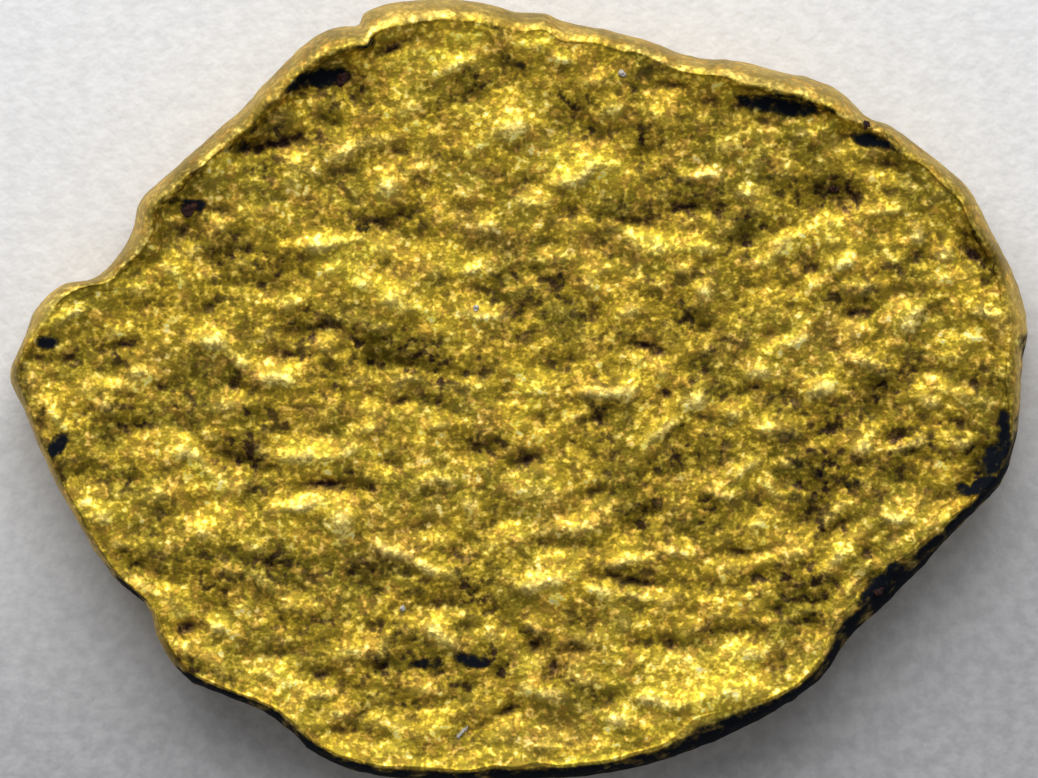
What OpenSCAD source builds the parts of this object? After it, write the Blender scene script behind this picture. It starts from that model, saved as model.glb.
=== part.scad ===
// A flattened native gold nugget: a dished plate with a rolled rim,
// worn flat underneath, with grains of quartz and ironstone lodged in it.

/* [Nugget] */
// Length over the outline
nugget_length = 13.6; // [10:0.1:20]
// Width over the outline
nugget_width = 10.45; // [8:0.05:15]
// Thickness of the gold in the middle of the dished face
floor_thick = 1.2; // [0.9:0.05:1.4]

/* [Rim] */
// Height of the rim where it stands tallest
rim_height = 1.75; // [1.5:0.05:2.1]
// Height of the widest line of the rim, above the ground
girth_height = 0.7; // [0.5:0.05:0.9]
// Width from the crest to the foot of the inner wall
wall_width = 0.3; // [0.25:0.01:0.45]
// How far the lip leans in past the crest where it isn't rolled
lip_width = 0.1; // [0.06:0.01:0.15]

/* [Underside] */
// How far in from the outline the worn flat starts
flat_inset = 1.3; // [1:0.05:2]
// How deep the underside is worn away by the flat
worn_depth = 0.12; // [0.06:0.01:0.2]
// Height of the swells that make the flat's edge uneven
under_swell = 0.03; // [0:0.005:0.04]

/* [Relief] */
// Height of the lumps and hollows on the face, as a share of their own heights
relief_share = 1; // [0.3:0.05:1.3]
// Height of the fine hummocks between them
hummock_height = 0.01; // [0:0.005:0.05]

/* [Grains] */
// Pale quartz sliver near the lower rim: length, width, height
quartz_sliver_size = [0.3, 0.11, 0.18]; // [0.06:0.01:0.4]
// Pinkish quartz grain near the middle
quartz_middle_size = [0.14, 0.12, 0.14]; // [0.06:0.01:0.4]
// Grey quartz grain on the lower face
quartz_low_size = [0.12, 0.1, 0.12]; // [0.06:0.01:0.4]
// Grey quartz grain under the upper rim
quartz_top_size = [0.16, 0.13, 0.15]; // [0.06:0.01:0.4]
// Purple-brown ironstone crust in the pocket under the upper lip
ironstone_top_size = [0.32, 0.22, 0.22]; // [0.06:0.01:0.4]
// Purple-brown ironstone grain on the edge of the upper rim
ironstone_edge_size = [0.22, 0.17, 0.2]; // [0.06:0.01:0.4]
// Red-brown ironstone grain in the left pocket
ironstone_left_size = [0.32, 0.24, 0.24]; // [0.06:0.01:0.4]
// Red-brown ironstone grain in a pit of the right face
ironstone_right_size = [0.2, 0.15, 0.18]; // [0.06:0.01:0.4]
// Ironstone grain in the lower right wall
ironstone_low_size = [0.2, 0.14, 0.18]; // [0.06:0.01:0.4]
// Clearance between a grain and its pocket
seat_gap = 0.004; // [0.002:0.001:0.01]

/* [Hidden] */

// Rings across the face, each with eight more points than the last
face_rings = 24;
edge_points = 8 * face_rings;

// The outline, clockwise from its left tip, as drawn at the real size
outline_marks = [
    [-6.80, 0.20], [-6.65, 0.60], [-6.40, 1.15], [-6.10, 1.40], [-5.65, 1.50], [-5.35, 1.80],
    [-5.15, 2.15], [-5.10, 2.45], [-4.90, 2.70], [-4.50, 3.05], [-4.05, 3.45], [-3.70, 3.75],
    [-3.15, 4.35], [-2.75, 4.70], [-2.40, 4.85], [-2.15, 4.87], [-2.05, 5.05], [-1.65, 5.17],
    [-1.10, 5.22], [-0.50, 5.17], [-0.05, 5.05], [0.35, 5.03], [0.60, 4.92], [1.10, 4.82],
    [1.60, 4.70], [2.30, 4.45], [2.90, 4.40], [3.50, 4.25], [4.00, 4.13], [4.35, 3.93],
    [4.65, 3.65], [5.00, 3.50], [5.60, 3.05], [6.00, 2.70], [6.20, 2.35], [6.45, 1.85],
    [6.65, 1.45], [6.80, 0.85], [6.72, 0.30], [6.70, -0.20], [6.60, -0.80], [6.40, -1.30],
    [5.90, -1.80], [5.35, -2.40], [4.80, -2.95], [4.37, -3.35], [4.05, -3.83], [3.48, -4.25],
    [2.70, -4.65], [1.90, -4.95], [1.10, -5.13], [0.15, -5.20], [-0.90, -5.22], [-1.90, -5.15],
    [-2.70, -4.87], [-3.05, -4.55], [-3.40, -4.30], [-4.00, -4.05], [-4.45, -3.83], [-4.80, -3.37],
    [-4.95, -2.90], [-5.35, -2.55], [-5.65, -2.15], [-6.05, -1.50], [-6.40, -0.77], [-6.62, -0.25]
];

// The rim every ten degrees, turning left from the right-hand end:
// how far the crest stands in, how much lower it is than the tallest place,
// how far its lip is rolled over, and the drop from the crest to the face
rim_stations = [
    [0.14, 0.28, 0.04, 0.16], [0.22, 0.26, 0.00, 0.12], [0.16, 0.28, 0.10, 0.22],
    [0.17, 0.30, 0.03, 0.14], [0.26, 0.15, 0.14, 0.32], [0.34, 0.06, 0.19, 0.42],
    [0.22, 0.22, 0.06, 0.20], [0.16, 0.30, 0.03, 0.12], [0.18, 0.30, 0.02, 0.12],
    [0.20, 0.28, 0.02, 0.12], [0.24, 0.28, 0.02, 0.12], [0.26, 0.18, 0.08, 0.24],
    [0.34, 0.00, 0.19, 0.45], [0.24, 0.12, 0.10, 0.32], [0.20, 0.26, 0.05, 0.16],
    [0.24, 0.16, 0.12, 0.30], [0.18, 0.30, 0.04, 0.14], [0.22, 0.28, 0.08, 0.18],
    [0.16, 0.34, 0.02, 0.12], [0.14, 0.34, 0.00, 0.12], [0.11, 0.34, 0.00, 0.11],
    [0.11, 0.33, 0.00, 0.12], [0.18, 0.32, 0.00, 0.11], [0.18, 0.30, 0.00, 0.11],
    [0.22, 0.30, 0.00, 0.11], [0.19, 0.30, 0.00, 0.11], [0.15, 0.30, 0.00, 0.11],
    [0.14, 0.30, 0.00, 0.11], [0.14, 0.30, 0.00, 0.11], [0.15, 0.28, 0.00, 0.11],
    [0.30, 0.26, 0.00, 0.11], [0.14, 0.28, 0.00, 0.11], [0.14, 0.32, 0.00, 0.11],
    [0.36, 0.34, 0.00, 0.12], [0.17, 0.34, 0.00, 0.12], [0.14, 0.30, 0.12, 0.24]
];
station_step = 360 / len(rim_stations);

// Lumps and hollows of the face: middle, half-length, half-width, turn, height
face_lumps = [
    [-0.45, 3.96, 0.40, 0.21, 5, -0.12], [-3.16, 3.24, 0.37, 0.21, 12, -0.12],
    [-1.72, 2.69, 0.27, 0.24, 0, 0.10], [-0.09, 3.44, 0.35, 0.24, 0, 0.13],
    [-2.15, 3.85, 0.29, 0.24, 0, -0.07], [-2.52, 3.56, 0.32, 0.20, 0, -0.07],
    [0.81, 3.48, 0.43, 0.24, -15, -0.12], [0.79, 2.83, 0.45, 0.21, 22, 0.13],
    [3.28, 3.56, 0.29, 0.19, -15, -0.09], [1.84, 3.61, 0.40, 0.24, 0, 0.05],
    [2.51, 2.81, 0.35, 0.19, -8, 0.08], [3.11, 2.52, 0.32, 0.24, 0, 0.09],
    [2.79, 3.19, 0.24, 0.19, 0, 0.06], [2.23, 2.37, 0.32, 0.17, 0, -0.12],
    [1.68, 2.20, 0.37, 0.17, -10, -0.12], [4.25, 2.53, 0.37, 0.24, 5, -0.14],
    [4.92, 2.12, 0.29, 0.19, -15, -0.09], [5.69, 2.16, 0.21, 0.19, 40, -0.10],
    [6.08, 1.72, 0.32, 0.19, -35, -0.10], [-4.52, 2.04, 0.37, 0.23, 12, -0.15],
    [-2.57, 1.95, 0.35, 0.19, 0, 0.09], [-3.85, 1.69, 0.37, 0.20, 0, -0.06],
    [-3.52, 1.35, 0.40, 0.19, 0, -0.06], [-5.96, 0.99, 0.35, 0.19, 18, 0.07],
    [-6.12, 0.41, 0.40, 0.17, 0, -0.07], [-5.25, 0.57, 0.32, 0.17, 0, -0.07],
    [-4.01, 0.60, 0.32, 0.21, -15, 0.13], [-3.65, 0.36, 0.21, 0.19, 0, 0.06],
    [-3.25, 0.12, 0.35, 0.19, -5, 0.11], [-2.92, 0.59, 0.45, 0.21, 0, -0.10],
    [-2.45, 0.04, 0.24, 0.21, 0, -0.06], [-5.09, 0.09, 0.37, 0.20, 0, 0.06],
    [-4.65, 0.01, 0.32, 0.17, 5, -0.06], [-1.88, 2.15, 0.40, 0.21, -8, -0.14],
    [-1.65, 1.12, 0.37, 0.24, 5, 0.13], [-0.45, 2.15, 0.27, 0.17, 0, 0.06],
    [0.08, 2.41, 0.35, 0.19, 15, 0.06], [-0.45, 1.25, 0.29, 0.21, -20, -0.07],
    [1.15, 1.85, 0.35, 0.20, 0, -0.07], [0.97, 1.41, 0.21, 0.20, 0, 0.06],
    [1.68, 0.52, 0.37, 0.17, 0, -0.10], [2.28, 0.25, 0.24, 0.19, 0, -0.09],
    [1.24, -0.07, 0.40, 0.20, 0, 0.13], [-1.52, -0.15, 0.43, 0.19, -5, -0.08],
    [-0.59, -0.81, 0.32, 0.19, 10, -0.09], [0.08, -0.97, 0.32, 0.19, 12, -0.10],
    [1.88, -0.61, 0.37, 0.20, 35, 0.08], [4.31, 1.63, 0.24, 0.19, 10, 0.09],
    [4.55, 1.35, 0.37, 0.19, 0, 0.06], [5.32, 1.79, 0.21, 0.19, 20, -0.08],
    [6.41, 1.43, 0.27, 0.19, 0, -0.08], [4.48, 1.01, 0.27, 0.19, 10, -0.09],
    [5.21, 0.92, 0.21, 0.21, 0, 0.09], [6.35, 0.97, 0.32, 0.20, -20, 0.09],
    [4.12, 0.63, 0.24, 0.20, -30, -0.09], [4.75, 0.29, 0.32, 0.20, -10, 0.12],
    [5.68, 0.23, 0.43, 0.19, -10, -0.10], [4.04, -0.01, 0.29, 0.23, 0, 0.13],
    [2.37, -0.17, 0.24, 0.19, 0, 0.09], [4.65, -0.32, 0.24, 0.21, 15, -0.12],
    [5.15, -0.79, 0.40, 0.17, 5, 0.06], [5.91, -0.51, 0.19, 0.17, 0, -0.07],
    [-3.79, -0.95, 0.45, 0.19, -22, -0.10], [-5.79, -1.13, 0.37, 0.19, 5, -0.08],
    [-2.79, -0.95, 0.51, 0.19, 6, 0.07], [-2.49, -1.32, 0.45, 0.17, -2, -0.11],
    [-2.39, -1.81, 0.32, 0.23, 5, 0.13], [-5.59, -1.72, 0.32, 0.20, 20, 0.08],
    [-4.32, -1.99, 0.37, 0.21, -15, 0.08], [-4.96, -2.44, 0.35, 0.17, -25, -0.07],
    [-4.08, -2.91, 0.24, 0.19, 0, -0.09], [-4.45, -3.19, 0.32, 0.17, 3, -0.10],
    [-3.19, -3.53, 0.43, 0.19, 5, -0.12], [-2.63, -3.83, 0.35, 0.17, -3, -0.09],
    [0.84, -1.51, 0.43, 0.19, 18, -0.11], [-0.12, -1.75, 0.29, 0.20, 0, -0.06],
    [0.57, -2.08, 0.40, 0.17, 0, -0.08], [1.59, -1.85, 0.24, 0.21, -30, -0.10],
    [-1.52, -2.23, 0.45, 0.21, -25, 0.10], [-1.99, -2.65, 0.35, 0.23, 0, -0.07],
    [-0.99, -2.91, 0.32, 0.19, 8, -0.09], [0.31, -2.65, 0.40, 0.21, 0, 0.12],
    [1.61, -2.59, 0.48, 0.17, -3, -0.08], [1.44, -2.31, 0.40, 0.17, 8, 0.07],
    [-1.09, -3.32, 0.35, 0.20, -15, 0.09], [-1.96, -3.48, 0.37, 0.19, 5, 0.07],
    [0.31, -3.61, 0.29, 0.24, -45, -0.12], [0.48, -4.04, 0.43, 0.21, 0, 0.09],
    [1.88, -3.44, 0.32, 0.20, 10, -0.09], [2.81, -3.32, 0.53, 0.23, 0, -0.14],
    [5.15, -1.27, 0.32, 0.17, -20, -0.12], [5.68, -1.48, 0.29, 0.17, -12, -0.10],
    [5.04, -1.72, 0.32, 0.19, 0, 0.09], [5.68, -1.81, 0.35, 0.19, 15, 0.08],
    [3.81, -1.72, 0.29, 0.20, 20, -0.10], [4.28, -1.88, 0.32, 0.17, 25, -0.08],
    [3.95, -2.31, 0.43, 0.23, 10, 0.10], [3.28, -3.68, 0.37, 0.19, 20, -0.08],
    [2.95, -4.15, 0.59, 0.21, 8, 0.11], [-0.25, -4.44, 0.37, 0.20, 12, -0.10],
    [0.48, -4.47, 0.56, 0.19, 0, -0.12], [-2.19, -4.59, 0.45, 0.19, 10, -0.07],
    [1.35, -4.39, 0.27, 0.19, -10, 0.06], [-4.05, 2.79, 0.37, 0.23, 15, 0.05],
    [-3.65, 3.05, 0.24, 0.24, 0, -0.06]
];

// Hummocks: how long the waves are, how each is turned from the last,
// and how much longer they are along the grain of the metal
wave_lengths = [0.62, 0.74, 0.88, 1.05, 1.25, 1.5];
wave_turn = 47;
grain_turn = 15;
grain_stretch = 1.6;

// How steeply the dished face climbs to the foot of its rim
dish_power = 3;

// Section of the rim: how high the undercut and the lip lie between foot and crest,
// where the shoulder lies between outline and crest, and how high above the girth
undercut_rise = 0.45;
undercut_inset = 0.75;
lip_rise = 0.85;
shoulder_inset = 0.35;
shoulder_rise = 0.75;

// Section of the underside: shares of the way in to the flat, and of the girth's height
under_section = [[0.1, 0.55], [0.35, 0.22], [1, 0]];
worn_reach = 1.5;

// Grains: where they lie on the drawn outline, and how they are turned
quartz_sliver_place = [-0.75, -4.55, 50];
quartz_middle_place = [-0.57, 1.09, 20];
quartz_low_place = [-1.55, -2.91, 70];
quartz_top_place = [1.37, 4.21, -15];
ironstone_top_place = [-2.35, 4.15, 35];
ironstone_edge_place = [4.62, 3.52, -35];
ironstone_left_place = [-4.40, 2.40, 30];
ironstone_right_place = [4.20, 2.68, -20];
ironstone_low_place = [4.80, -2.68, 45];

// Shape of a grain: sides, heights of its three levels, and how uneven its corners are
grain_sides = 7;
grain_levels = [-0.62, 0, 0.62];
grain_reaches = [0.8, 1, 0.8];
grain_chipping = 0.14;

// A smooth closed curve through the rows of a list, at place t along it
function on_loop(rows, t) =
    let (n = len(rows), i = floor(t), f = t - i,
         a = rows[(i + n - 1) % n], b = rows[i % n], c = rows[(i + 1) % n], d = rows[(i + 2) % n])
    b + 0.5 * f * (c - a + f * (2 * a - 5 * b + 4 * c - d + f * (3 * (b - c) + d - a)));

function total(list) = list * [for (item = list) 1];
function turn_of(p) = (atan2(p.y, p.x) + 360) % 360;
function between(low, high, share) = low + (high - low) * share;

// The drawn outline, moved so that its box is centred on the origin
mark_count = len(outline_marks);
drawn_edge = [for (j = [0 : edge_points - 1]) on_loop(outline_marks, j * mark_count / edge_points)];
drawn_low = [min([for (p = drawn_edge) p.x]), min([for (p = drawn_edge) p.y])];
drawn_high = [max([for (p = drawn_edge) p.x]), max([for (p = drawn_edge) p.y])];
drawn_middle = (drawn_low + drawn_high) / 2;
drawn_span = drawn_high - drawn_low;
stretch = [nugget_length / drawn_span.x, nugget_width / drawn_span.y];

function real_place(p) = [(p.x - drawn_middle.x) * stretch.x, (p.y - drawn_middle.y) * stretch.y];
function drawn_place(p) = [p.x / stretch.x + drawn_middle.x, p.y / stretch.y + drawn_middle.y];

edge = [for (p = drawn_edge) real_place(p)];
edge_reach = [for (lap = [-360, 0, 360], p = edge) [turn_of(p) + lap, norm(p)]];

// The rim at one turn about the middle: the station's row, the crest's height and the foot's
function rim_at(turn) = on_loop(rim_stations, turn / station_step);
function crest_height(row) = rim_height - row[1];
function foot_height(row) = crest_height(row) - row[3];
function foot_inset(row) = row[0] + wall_width;

// Lumps, hollows and hummocks at a place on the drawn outline
function lump_height(p, m) =
    let (d = p - [m[0], m[1]],
         along = (d.x * cos(m[4]) + d.y * sin(m[4])) / m[2],
         across = (d.y * cos(m[4]) - d.x * sin(m[4])) / m[3])
    m[5] * exp(-along * along - across * across);
function waves(p) =
    let (along = (p.x * cos(grain_turn) + p.y * sin(grain_turn)) / grain_stretch,
         across = p.y * cos(grain_turn) - p.x * sin(grain_turn))
    total([
        for (i = [0 : len(wave_lengths) - 1])
            let (turn = i * wave_turn, way = along * cos(turn) + across * sin(turn))
            sin(360 * way / wave_lengths[i] + turn)
    ]);
function relief(p) =
    relief_share * total([for (m = face_lumps) lump_height(p, m)]) + hummock_height * waves(p);

// Height of the dished face at a real place, share 1 being the foot of its rim
function face_height(p, share, row) =
    between(floor_thick, foot_height(row), pow(share, dish_power)) + relief(drawn_place(p));

// The rim's rings from the face to the ground: how far in, and how high
function rim_rings(row) =
    let (crest = crest_height(row), foot = foot_height(row), rolled = row[2])
    [
        [row[0] + undercut_inset * wall_width - rolled, between(foot, crest, undercut_rise)],
        [row[0] + lip_width + rolled / 2, between(foot, crest, lip_rise)],
        [row[0] + lip_width / 2, crest],
        [shoulder_inset * row[0], between(girth_height, crest, shoulder_rise)],
        [0, girth_height],
        for (spot = under_section) [spot[0] * flat_inset, spot[1] * girth_height],
        [worn_reach * flat_inset, -worn_depth]
    ];
rim_ring_count = len(rim_rings(rim_stations[0]));
girth_ring = 4;

// Height of the top of the gold at a real place, for the grains
function top_height(p) =
    let (turn = turn_of(p), row = rim_at(turn), reach = lookup(turn, edge_reach),
         inset = reach - norm(p), rings = rim_rings(row), foot = foot_inset(row))
    inset > foot
        ? face_height(p, norm(p) / (reach - foot), row)
        : lookup(inset, [
            rings[girth_ring], rings[girth_ring - 1], rings[girth_ring - 2],
            [foot, foot_height(row) + relief(drawn_place(p))]
        ]);

// Points of the gold: the face from its middle outwards, then the rim, then the ground
function edge_at(k, i) = real_place(on_loop(outline_marks, i * mark_count / (8 * k)));
function face_point(k, i) =
    let (p = edge_at(k, i), row = rim_at(turn_of(p)), reach = norm(p), share = k / face_rings,
         q = p * share * (reach - foot_inset(row)) / reach)
    [q.x, q.y, face_height(q, share, row)];
function rim_point(j, ring) =
    let (p = edge[j], spot = rim_rings(rim_at(turn_of(p)))[ring], q = p * (1 - spot[0] / norm(p)),
         swell = ring > girth_ring ? under_swell * waves(drawn_place(q)) : 0)
    [q.x, q.y, spot[1] + swell];

// Places of those points in the list
function face_index(k, i) = k == 0 ? 0 : 1 + 4 * k * (k - 1) + i % (8 * k);
function rim_index(ring, j) =
    ring < 0
        ? face_index(face_rings, j)
        : face_index(face_rings + 1, 0) + ring * edge_points + j % edge_points;

// The whole nugget before its underside is worn and its pockets are cut
module gold_form() {
    middle = [0, 0, face_height([0, 0], 0, rim_at(0))];
    below = [0, 0, -2 * worn_depth];
    lowest = rim_ring_count - 1;
    points = concat(
        [middle],
        [for (k = [1 : face_rings], i = [0 : 8 * k - 1]) face_point(k, i)],
        [for (ring = [0 : lowest], j = [0 : edge_points - 1]) rim_point(j, ring)],
        [below]
    );
    last = len(points) - 1;
    face_outward = [
        for (k = [1 : face_rings], o = [0 : 7], i = [0 : k - 1])
            [face_index(k, o * k + i), face_index(k, o * k + i + 1), face_index(k - 1, o * (k - 1) + i)]
    ];
    face_inward = [
        for (k = [2 : face_rings], o = [0 : 7], i = [0 : k - 2])
            [face_index(k - 1, o * (k - 1) + i), face_index(k, o * k + i + 1),
             face_index(k - 1, o * (k - 1) + i + 1)]
    ];
    rim_bands = [
        for (ring = [0 : lowest], j = [0 : edge_points - 1], half = [0, 1])
            half == 0
                ? [rim_index(ring, j), rim_index(ring, j + 1), rim_index(ring - 1, j)]
                : [rim_index(ring - 1, j), rim_index(ring, j + 1), rim_index(ring - 1, j + 1)]
    ];
    ground_fan = [for (j = [0 : edge_points - 1]) [rim_index(lowest, j), last, rim_index(lowest, j + 1)]];
    polyhedron(points, concat(face_outward, face_inward, rim_bands, ground_fan));
}

// An angular grain lying on the gold's surface, half sunk in it, grown by a clearance for its pocket
module grain(place, size, grown) {
    p = real_place(place);
    half = size / 2 + [grown, grown, grown];
    sides = [0 : grain_sides - 1];
    points = concat(
        [[0, 0, -half.z]],
        [
            for (level = [0 : 2], i = sides)
                let (turn = 360 * (i + level / 2) / grain_sides,
                     chip = grain_chipping * sin(2 * turn + 90 * level) ^ 2,
                     reach = grain_reaches[level] * (1 - chip))
                [half.x * reach * cos(turn), half.y * reach * sin(turn), half.z * grain_levels[level]]
        ],
        [[0, 0, half.z]]
    );
    top = len(points) - 1;
    function at(level, i) = 1 + level * grain_sides + i % grain_sides;
    translate([p.x, p.y, top_height(p)])
        rotate(place[2])
            polyhedron(points, concat(
                [for (i = sides) [0, at(0, i), at(0, i + 1)]],
                [for (level = [0, 1], i = sides) [at(level, i), at(level + 1, i), at(level, i + 1)]],
                [for (level = [0, 1], i = sides) [at(level, i + 1), at(level + 1, i), at(level + 1, i + 1)]],
                [for (i = sides) [at(2, i), top, at(2, i + 1)]]
            ));
}

module gold_body() {
    ground = 3 * worn_depth;
    color("goldenrod")
        difference() {
            gold_form();
            translate([-nugget_length, -nugget_width, -ground])
                cube([2 * nugget_length, 2 * nugget_width, ground]);
            grain(quartz_sliver_place, quartz_sliver_size, seat_gap);
            grain(quartz_middle_place, quartz_middle_size, seat_gap);
            grain(quartz_low_place, quartz_low_size, seat_gap);
            grain(quartz_top_place, quartz_top_size, seat_gap);
            grain(ironstone_top_place, ironstone_top_size, seat_gap);
            grain(ironstone_edge_place, ironstone_edge_size, seat_gap);
            grain(ironstone_left_place, ironstone_left_size, seat_gap);
            grain(ironstone_right_place, ironstone_right_size, seat_gap);
            grain(ironstone_low_place, ironstone_low_size, seat_gap);
        }
}

module quartz_sliver() {
    color("whitesmoke") grain(quartz_sliver_place, quartz_sliver_size, 0);
}

module quartz_middle() {
    color("mistyrose") grain(quartz_middle_place, quartz_middle_size, 0);
}

module quartz_low() {
    color("lightsteelblue") grain(quartz_low_place, quartz_low_size, 0);
}

module quartz_top() {
    color("darkgray") grain(quartz_top_place, quartz_top_size, 0);
}

module ironstone_top() {
    color("saddlebrown") grain(ironstone_top_place, ironstone_top_size, 0);
}

module ironstone_edge() {
    color("rosybrown") grain(ironstone_edge_place, ironstone_edge_size, 0);
}

module ironstone_left() {
    color("saddlebrown") grain(ironstone_left_place, ironstone_left_size, 0);
}

module ironstone_right() {
    color("saddlebrown") grain(ironstone_right_place, ironstone_right_size, 0);
}

module ironstone_low() {
    color("saddlebrown") grain(ironstone_low_place, ironstone_low_size, 0);
}

gold_body();
quartz_sliver();
quartz_middle();
quartz_low();
quartz_top();
ironstone_top();
ironstone_edge();
ironstone_left();
ironstone_right();
ironstone_low();
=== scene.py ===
import itertools
import math

import bmesh
import bpy
import numpy as np
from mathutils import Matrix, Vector
from mathutils.bvhtree import BVHTree


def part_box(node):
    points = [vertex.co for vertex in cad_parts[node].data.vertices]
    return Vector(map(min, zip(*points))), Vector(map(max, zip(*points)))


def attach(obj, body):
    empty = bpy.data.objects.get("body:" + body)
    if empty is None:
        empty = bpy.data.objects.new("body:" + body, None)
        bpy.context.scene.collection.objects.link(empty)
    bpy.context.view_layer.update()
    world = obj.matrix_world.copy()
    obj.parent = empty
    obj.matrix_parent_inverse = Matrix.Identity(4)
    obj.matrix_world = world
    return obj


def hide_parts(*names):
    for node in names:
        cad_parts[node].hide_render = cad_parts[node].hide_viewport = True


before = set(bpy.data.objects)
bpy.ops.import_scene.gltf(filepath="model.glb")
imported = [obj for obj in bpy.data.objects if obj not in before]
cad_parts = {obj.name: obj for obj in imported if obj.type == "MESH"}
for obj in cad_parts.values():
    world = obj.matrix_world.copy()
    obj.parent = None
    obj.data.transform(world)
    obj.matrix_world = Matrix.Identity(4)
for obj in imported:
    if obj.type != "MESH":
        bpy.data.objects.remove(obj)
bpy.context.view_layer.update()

# Shapes are worked out in millimetres and written to Blender in metres
MM = 0.001

# The photograph's frame, and where the nugget's outline reaches in it, in its pixels
PHOTO_WIDTH, PHOTO_HEIGHT = 1038, 778
OUTLINE_LEFT, OUTLINE_RIGHT = 9, 1029
OUTLINE_TOP, OUTLINE_BOTTOM = -2, 782


def node_box(node):
    """Low and high corners of a node's solid, in millimetres."""
    low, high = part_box(node)
    return np.array(low) / MM, np.array(high) / MM


# The gold's solid, and the size of a pixel on it, in millimetres
gold_low, gold_high = node_box("gold_body")
gold_middle = (gold_low + gold_high) / 2
PIXEL = (gold_high[0] - gold_low[0]) / (OUTLINE_RIGHT - OUTLINE_LEFT)


def photo_place(px, py):
    """The place on the nugget, in millimetres, of a pixel of the photograph."""
    return np.array((
        gold_middle[0] + (px - (OUTLINE_LEFT + OUTLINE_RIGHT) / 2) * PIXEL,
        gold_middle[1] + ((OUTLINE_TOP + OUTLINE_BOTTOM) / 2 - py) * PIXEL,
    ))


# Camera, straight above the nugget with a long lens
LENS_MM, SENSOR_MM = 400, 36
RIM_LEVEL_MM = 1.2
CLIP_START = 0.001


def make_camera():
    """The camera, with the photograph's whole frame in view."""
    data = bpy.data.cameras.new("camera")
    data.lens = LENS_MM
    data.sensor_width = SENSOR_MM
    data.clip_start = CLIP_START
    camera = bpy.data.objects.new("camera", data)
    bpy.context.scene.collection.objects.link(camera)
    x, y = photo_place(PHOTO_WIDTH / 2, PHOTO_HEIGHT / 2)
    distance = LENS_MM * PHOTO_WIDTH * PIXEL / SENSOR_MM
    camera.location = Vector((x, y, RIM_LEVEL_MM + distance)) * MM
    bpy.context.scene.camera = camera


# Fineness of the gold's mesh: rings across the face, and rings across the underside
FACE_RINGS = 120
UNDER_RINGS = 60
EDGE_POINTS = 8 * FACE_RINGS

# Section of the rim's inner wall: widths in millimetres, and rises as shares of the way from foot to crest
WALL_WIDTH, LIP_WIDTH = 0.26, 0.04
UNDERCUT_RISE, LIP_RISE = 0.35, 0.72

# Its other knots: a dip in millimetres, and shares of the wall's width and of the lip's roll
SLOPE_WIDTH, SLOPE_DIP = 1.6, 0.02
UNDERCUT_WIDTH, UNDERCUT_ROLL, LIP_ROLL = 0.7, 0.9, 0.15

# Knots from crest to girth, as shares of the crest's inset and of its height over the girth
OUTER_KNOTS = ((0.6, 0.92), (0.27, 0.68), (0.07, 0.37))

# Knots below the girth: insets in millimetres, and heights as shares of the girth's
TUCK_INSET, TUCK_RISE = 0.13, 0.5
UNDER_INSET, UNDER_RISE = 0.45, 0.2

# The flat's inset in millimetres, and where its mesh starts and the section ends, as shares of that inset
FLAT_INSET, FLAT_START, FLAT_END = 1.3, 1.08, 1.5

# How the rim changes along its way: its drop to the face in plain stretches and in pockets, in millimetres
LEAST_DROP, MOST_DROP = 0.10, 0.5
PLAIN_DROP, POCKET_DROP = 0.14, 0.26
PLAIN_SINK, PLAIN_FILL = 0.05, 0.03
GENTLE_DROP = 0.11
FULL_POCKET, POCKET_CREST_SHIFT = 0.16, 0.07
CREST_WAVE, CREST_UNEVEN = 0.45, 0.05

# Its thinnest stretch: which way that lies, how thin it is, and where it fades
THIN_SIDE = np.array((-0.85, -0.53))
THIN_SHARE, THIN_FADE = 0.5, (0.55, 0.95)

# Rings of the mesh between one knot of that section and the next, from the foot outwards
SECTION_STEPS = (4, 3, 3, 3, 3, 2, 2, 2, 2, 1)
CREST_RING, GIRTH_RING = 10, 20

# Where the CAD is read for its crest, in from the outline, and how far it falls beyond, in millimetres
CREST_STEPS = np.arange(0.02, 0.5, 0.02)
CREST_FALL = 0.002

# Where it is read for the foot, beyond the wall, and across the middle for the face, in millimetres
FOOT_BEYOND = 0.05
FACE_SAMPLES = np.linspace(-2, 2, 15)

# The girth's share of the height, and levels beside it where the outline is read, in millimetres
GIRTH_SHARE = 0.41
GIRTH_LEVELS = np.linspace(-0.1, 0.1, 3)

# How much those readings are smoothed along the rim, and how the face rises to the rim and to its pockets
RIM_SMOOTHING, DROP_SMOOTHING, FOOT_SMOOTHING = 4, 10, 40
DISH_POWER, POCKET_POWER = 3, 24

# Pockets under the rolled lip: pixel of the middle, half-length in pixels, depth in millimetres
LIP_POCKETS = [
    (316, 80, 36, 0.22), (365, 44, 14, 0.10), (262, 112, 26, 0.10), (238, 142, 14, 0.10),
    (184, 204, 24, 0.20), (130, 268, 12, 0.10), (778, 106, 40, 0.20), (824, 104, 14, 0.12),
    (866, 138, 22, 0.18), (976, 250, 16, 0.12), (1002, 455, 40, 0.16),
    (43, 346, 18, 0.16), (660, 78, 50, 0.05), (470, 45, 40, 0.05),
]

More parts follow.
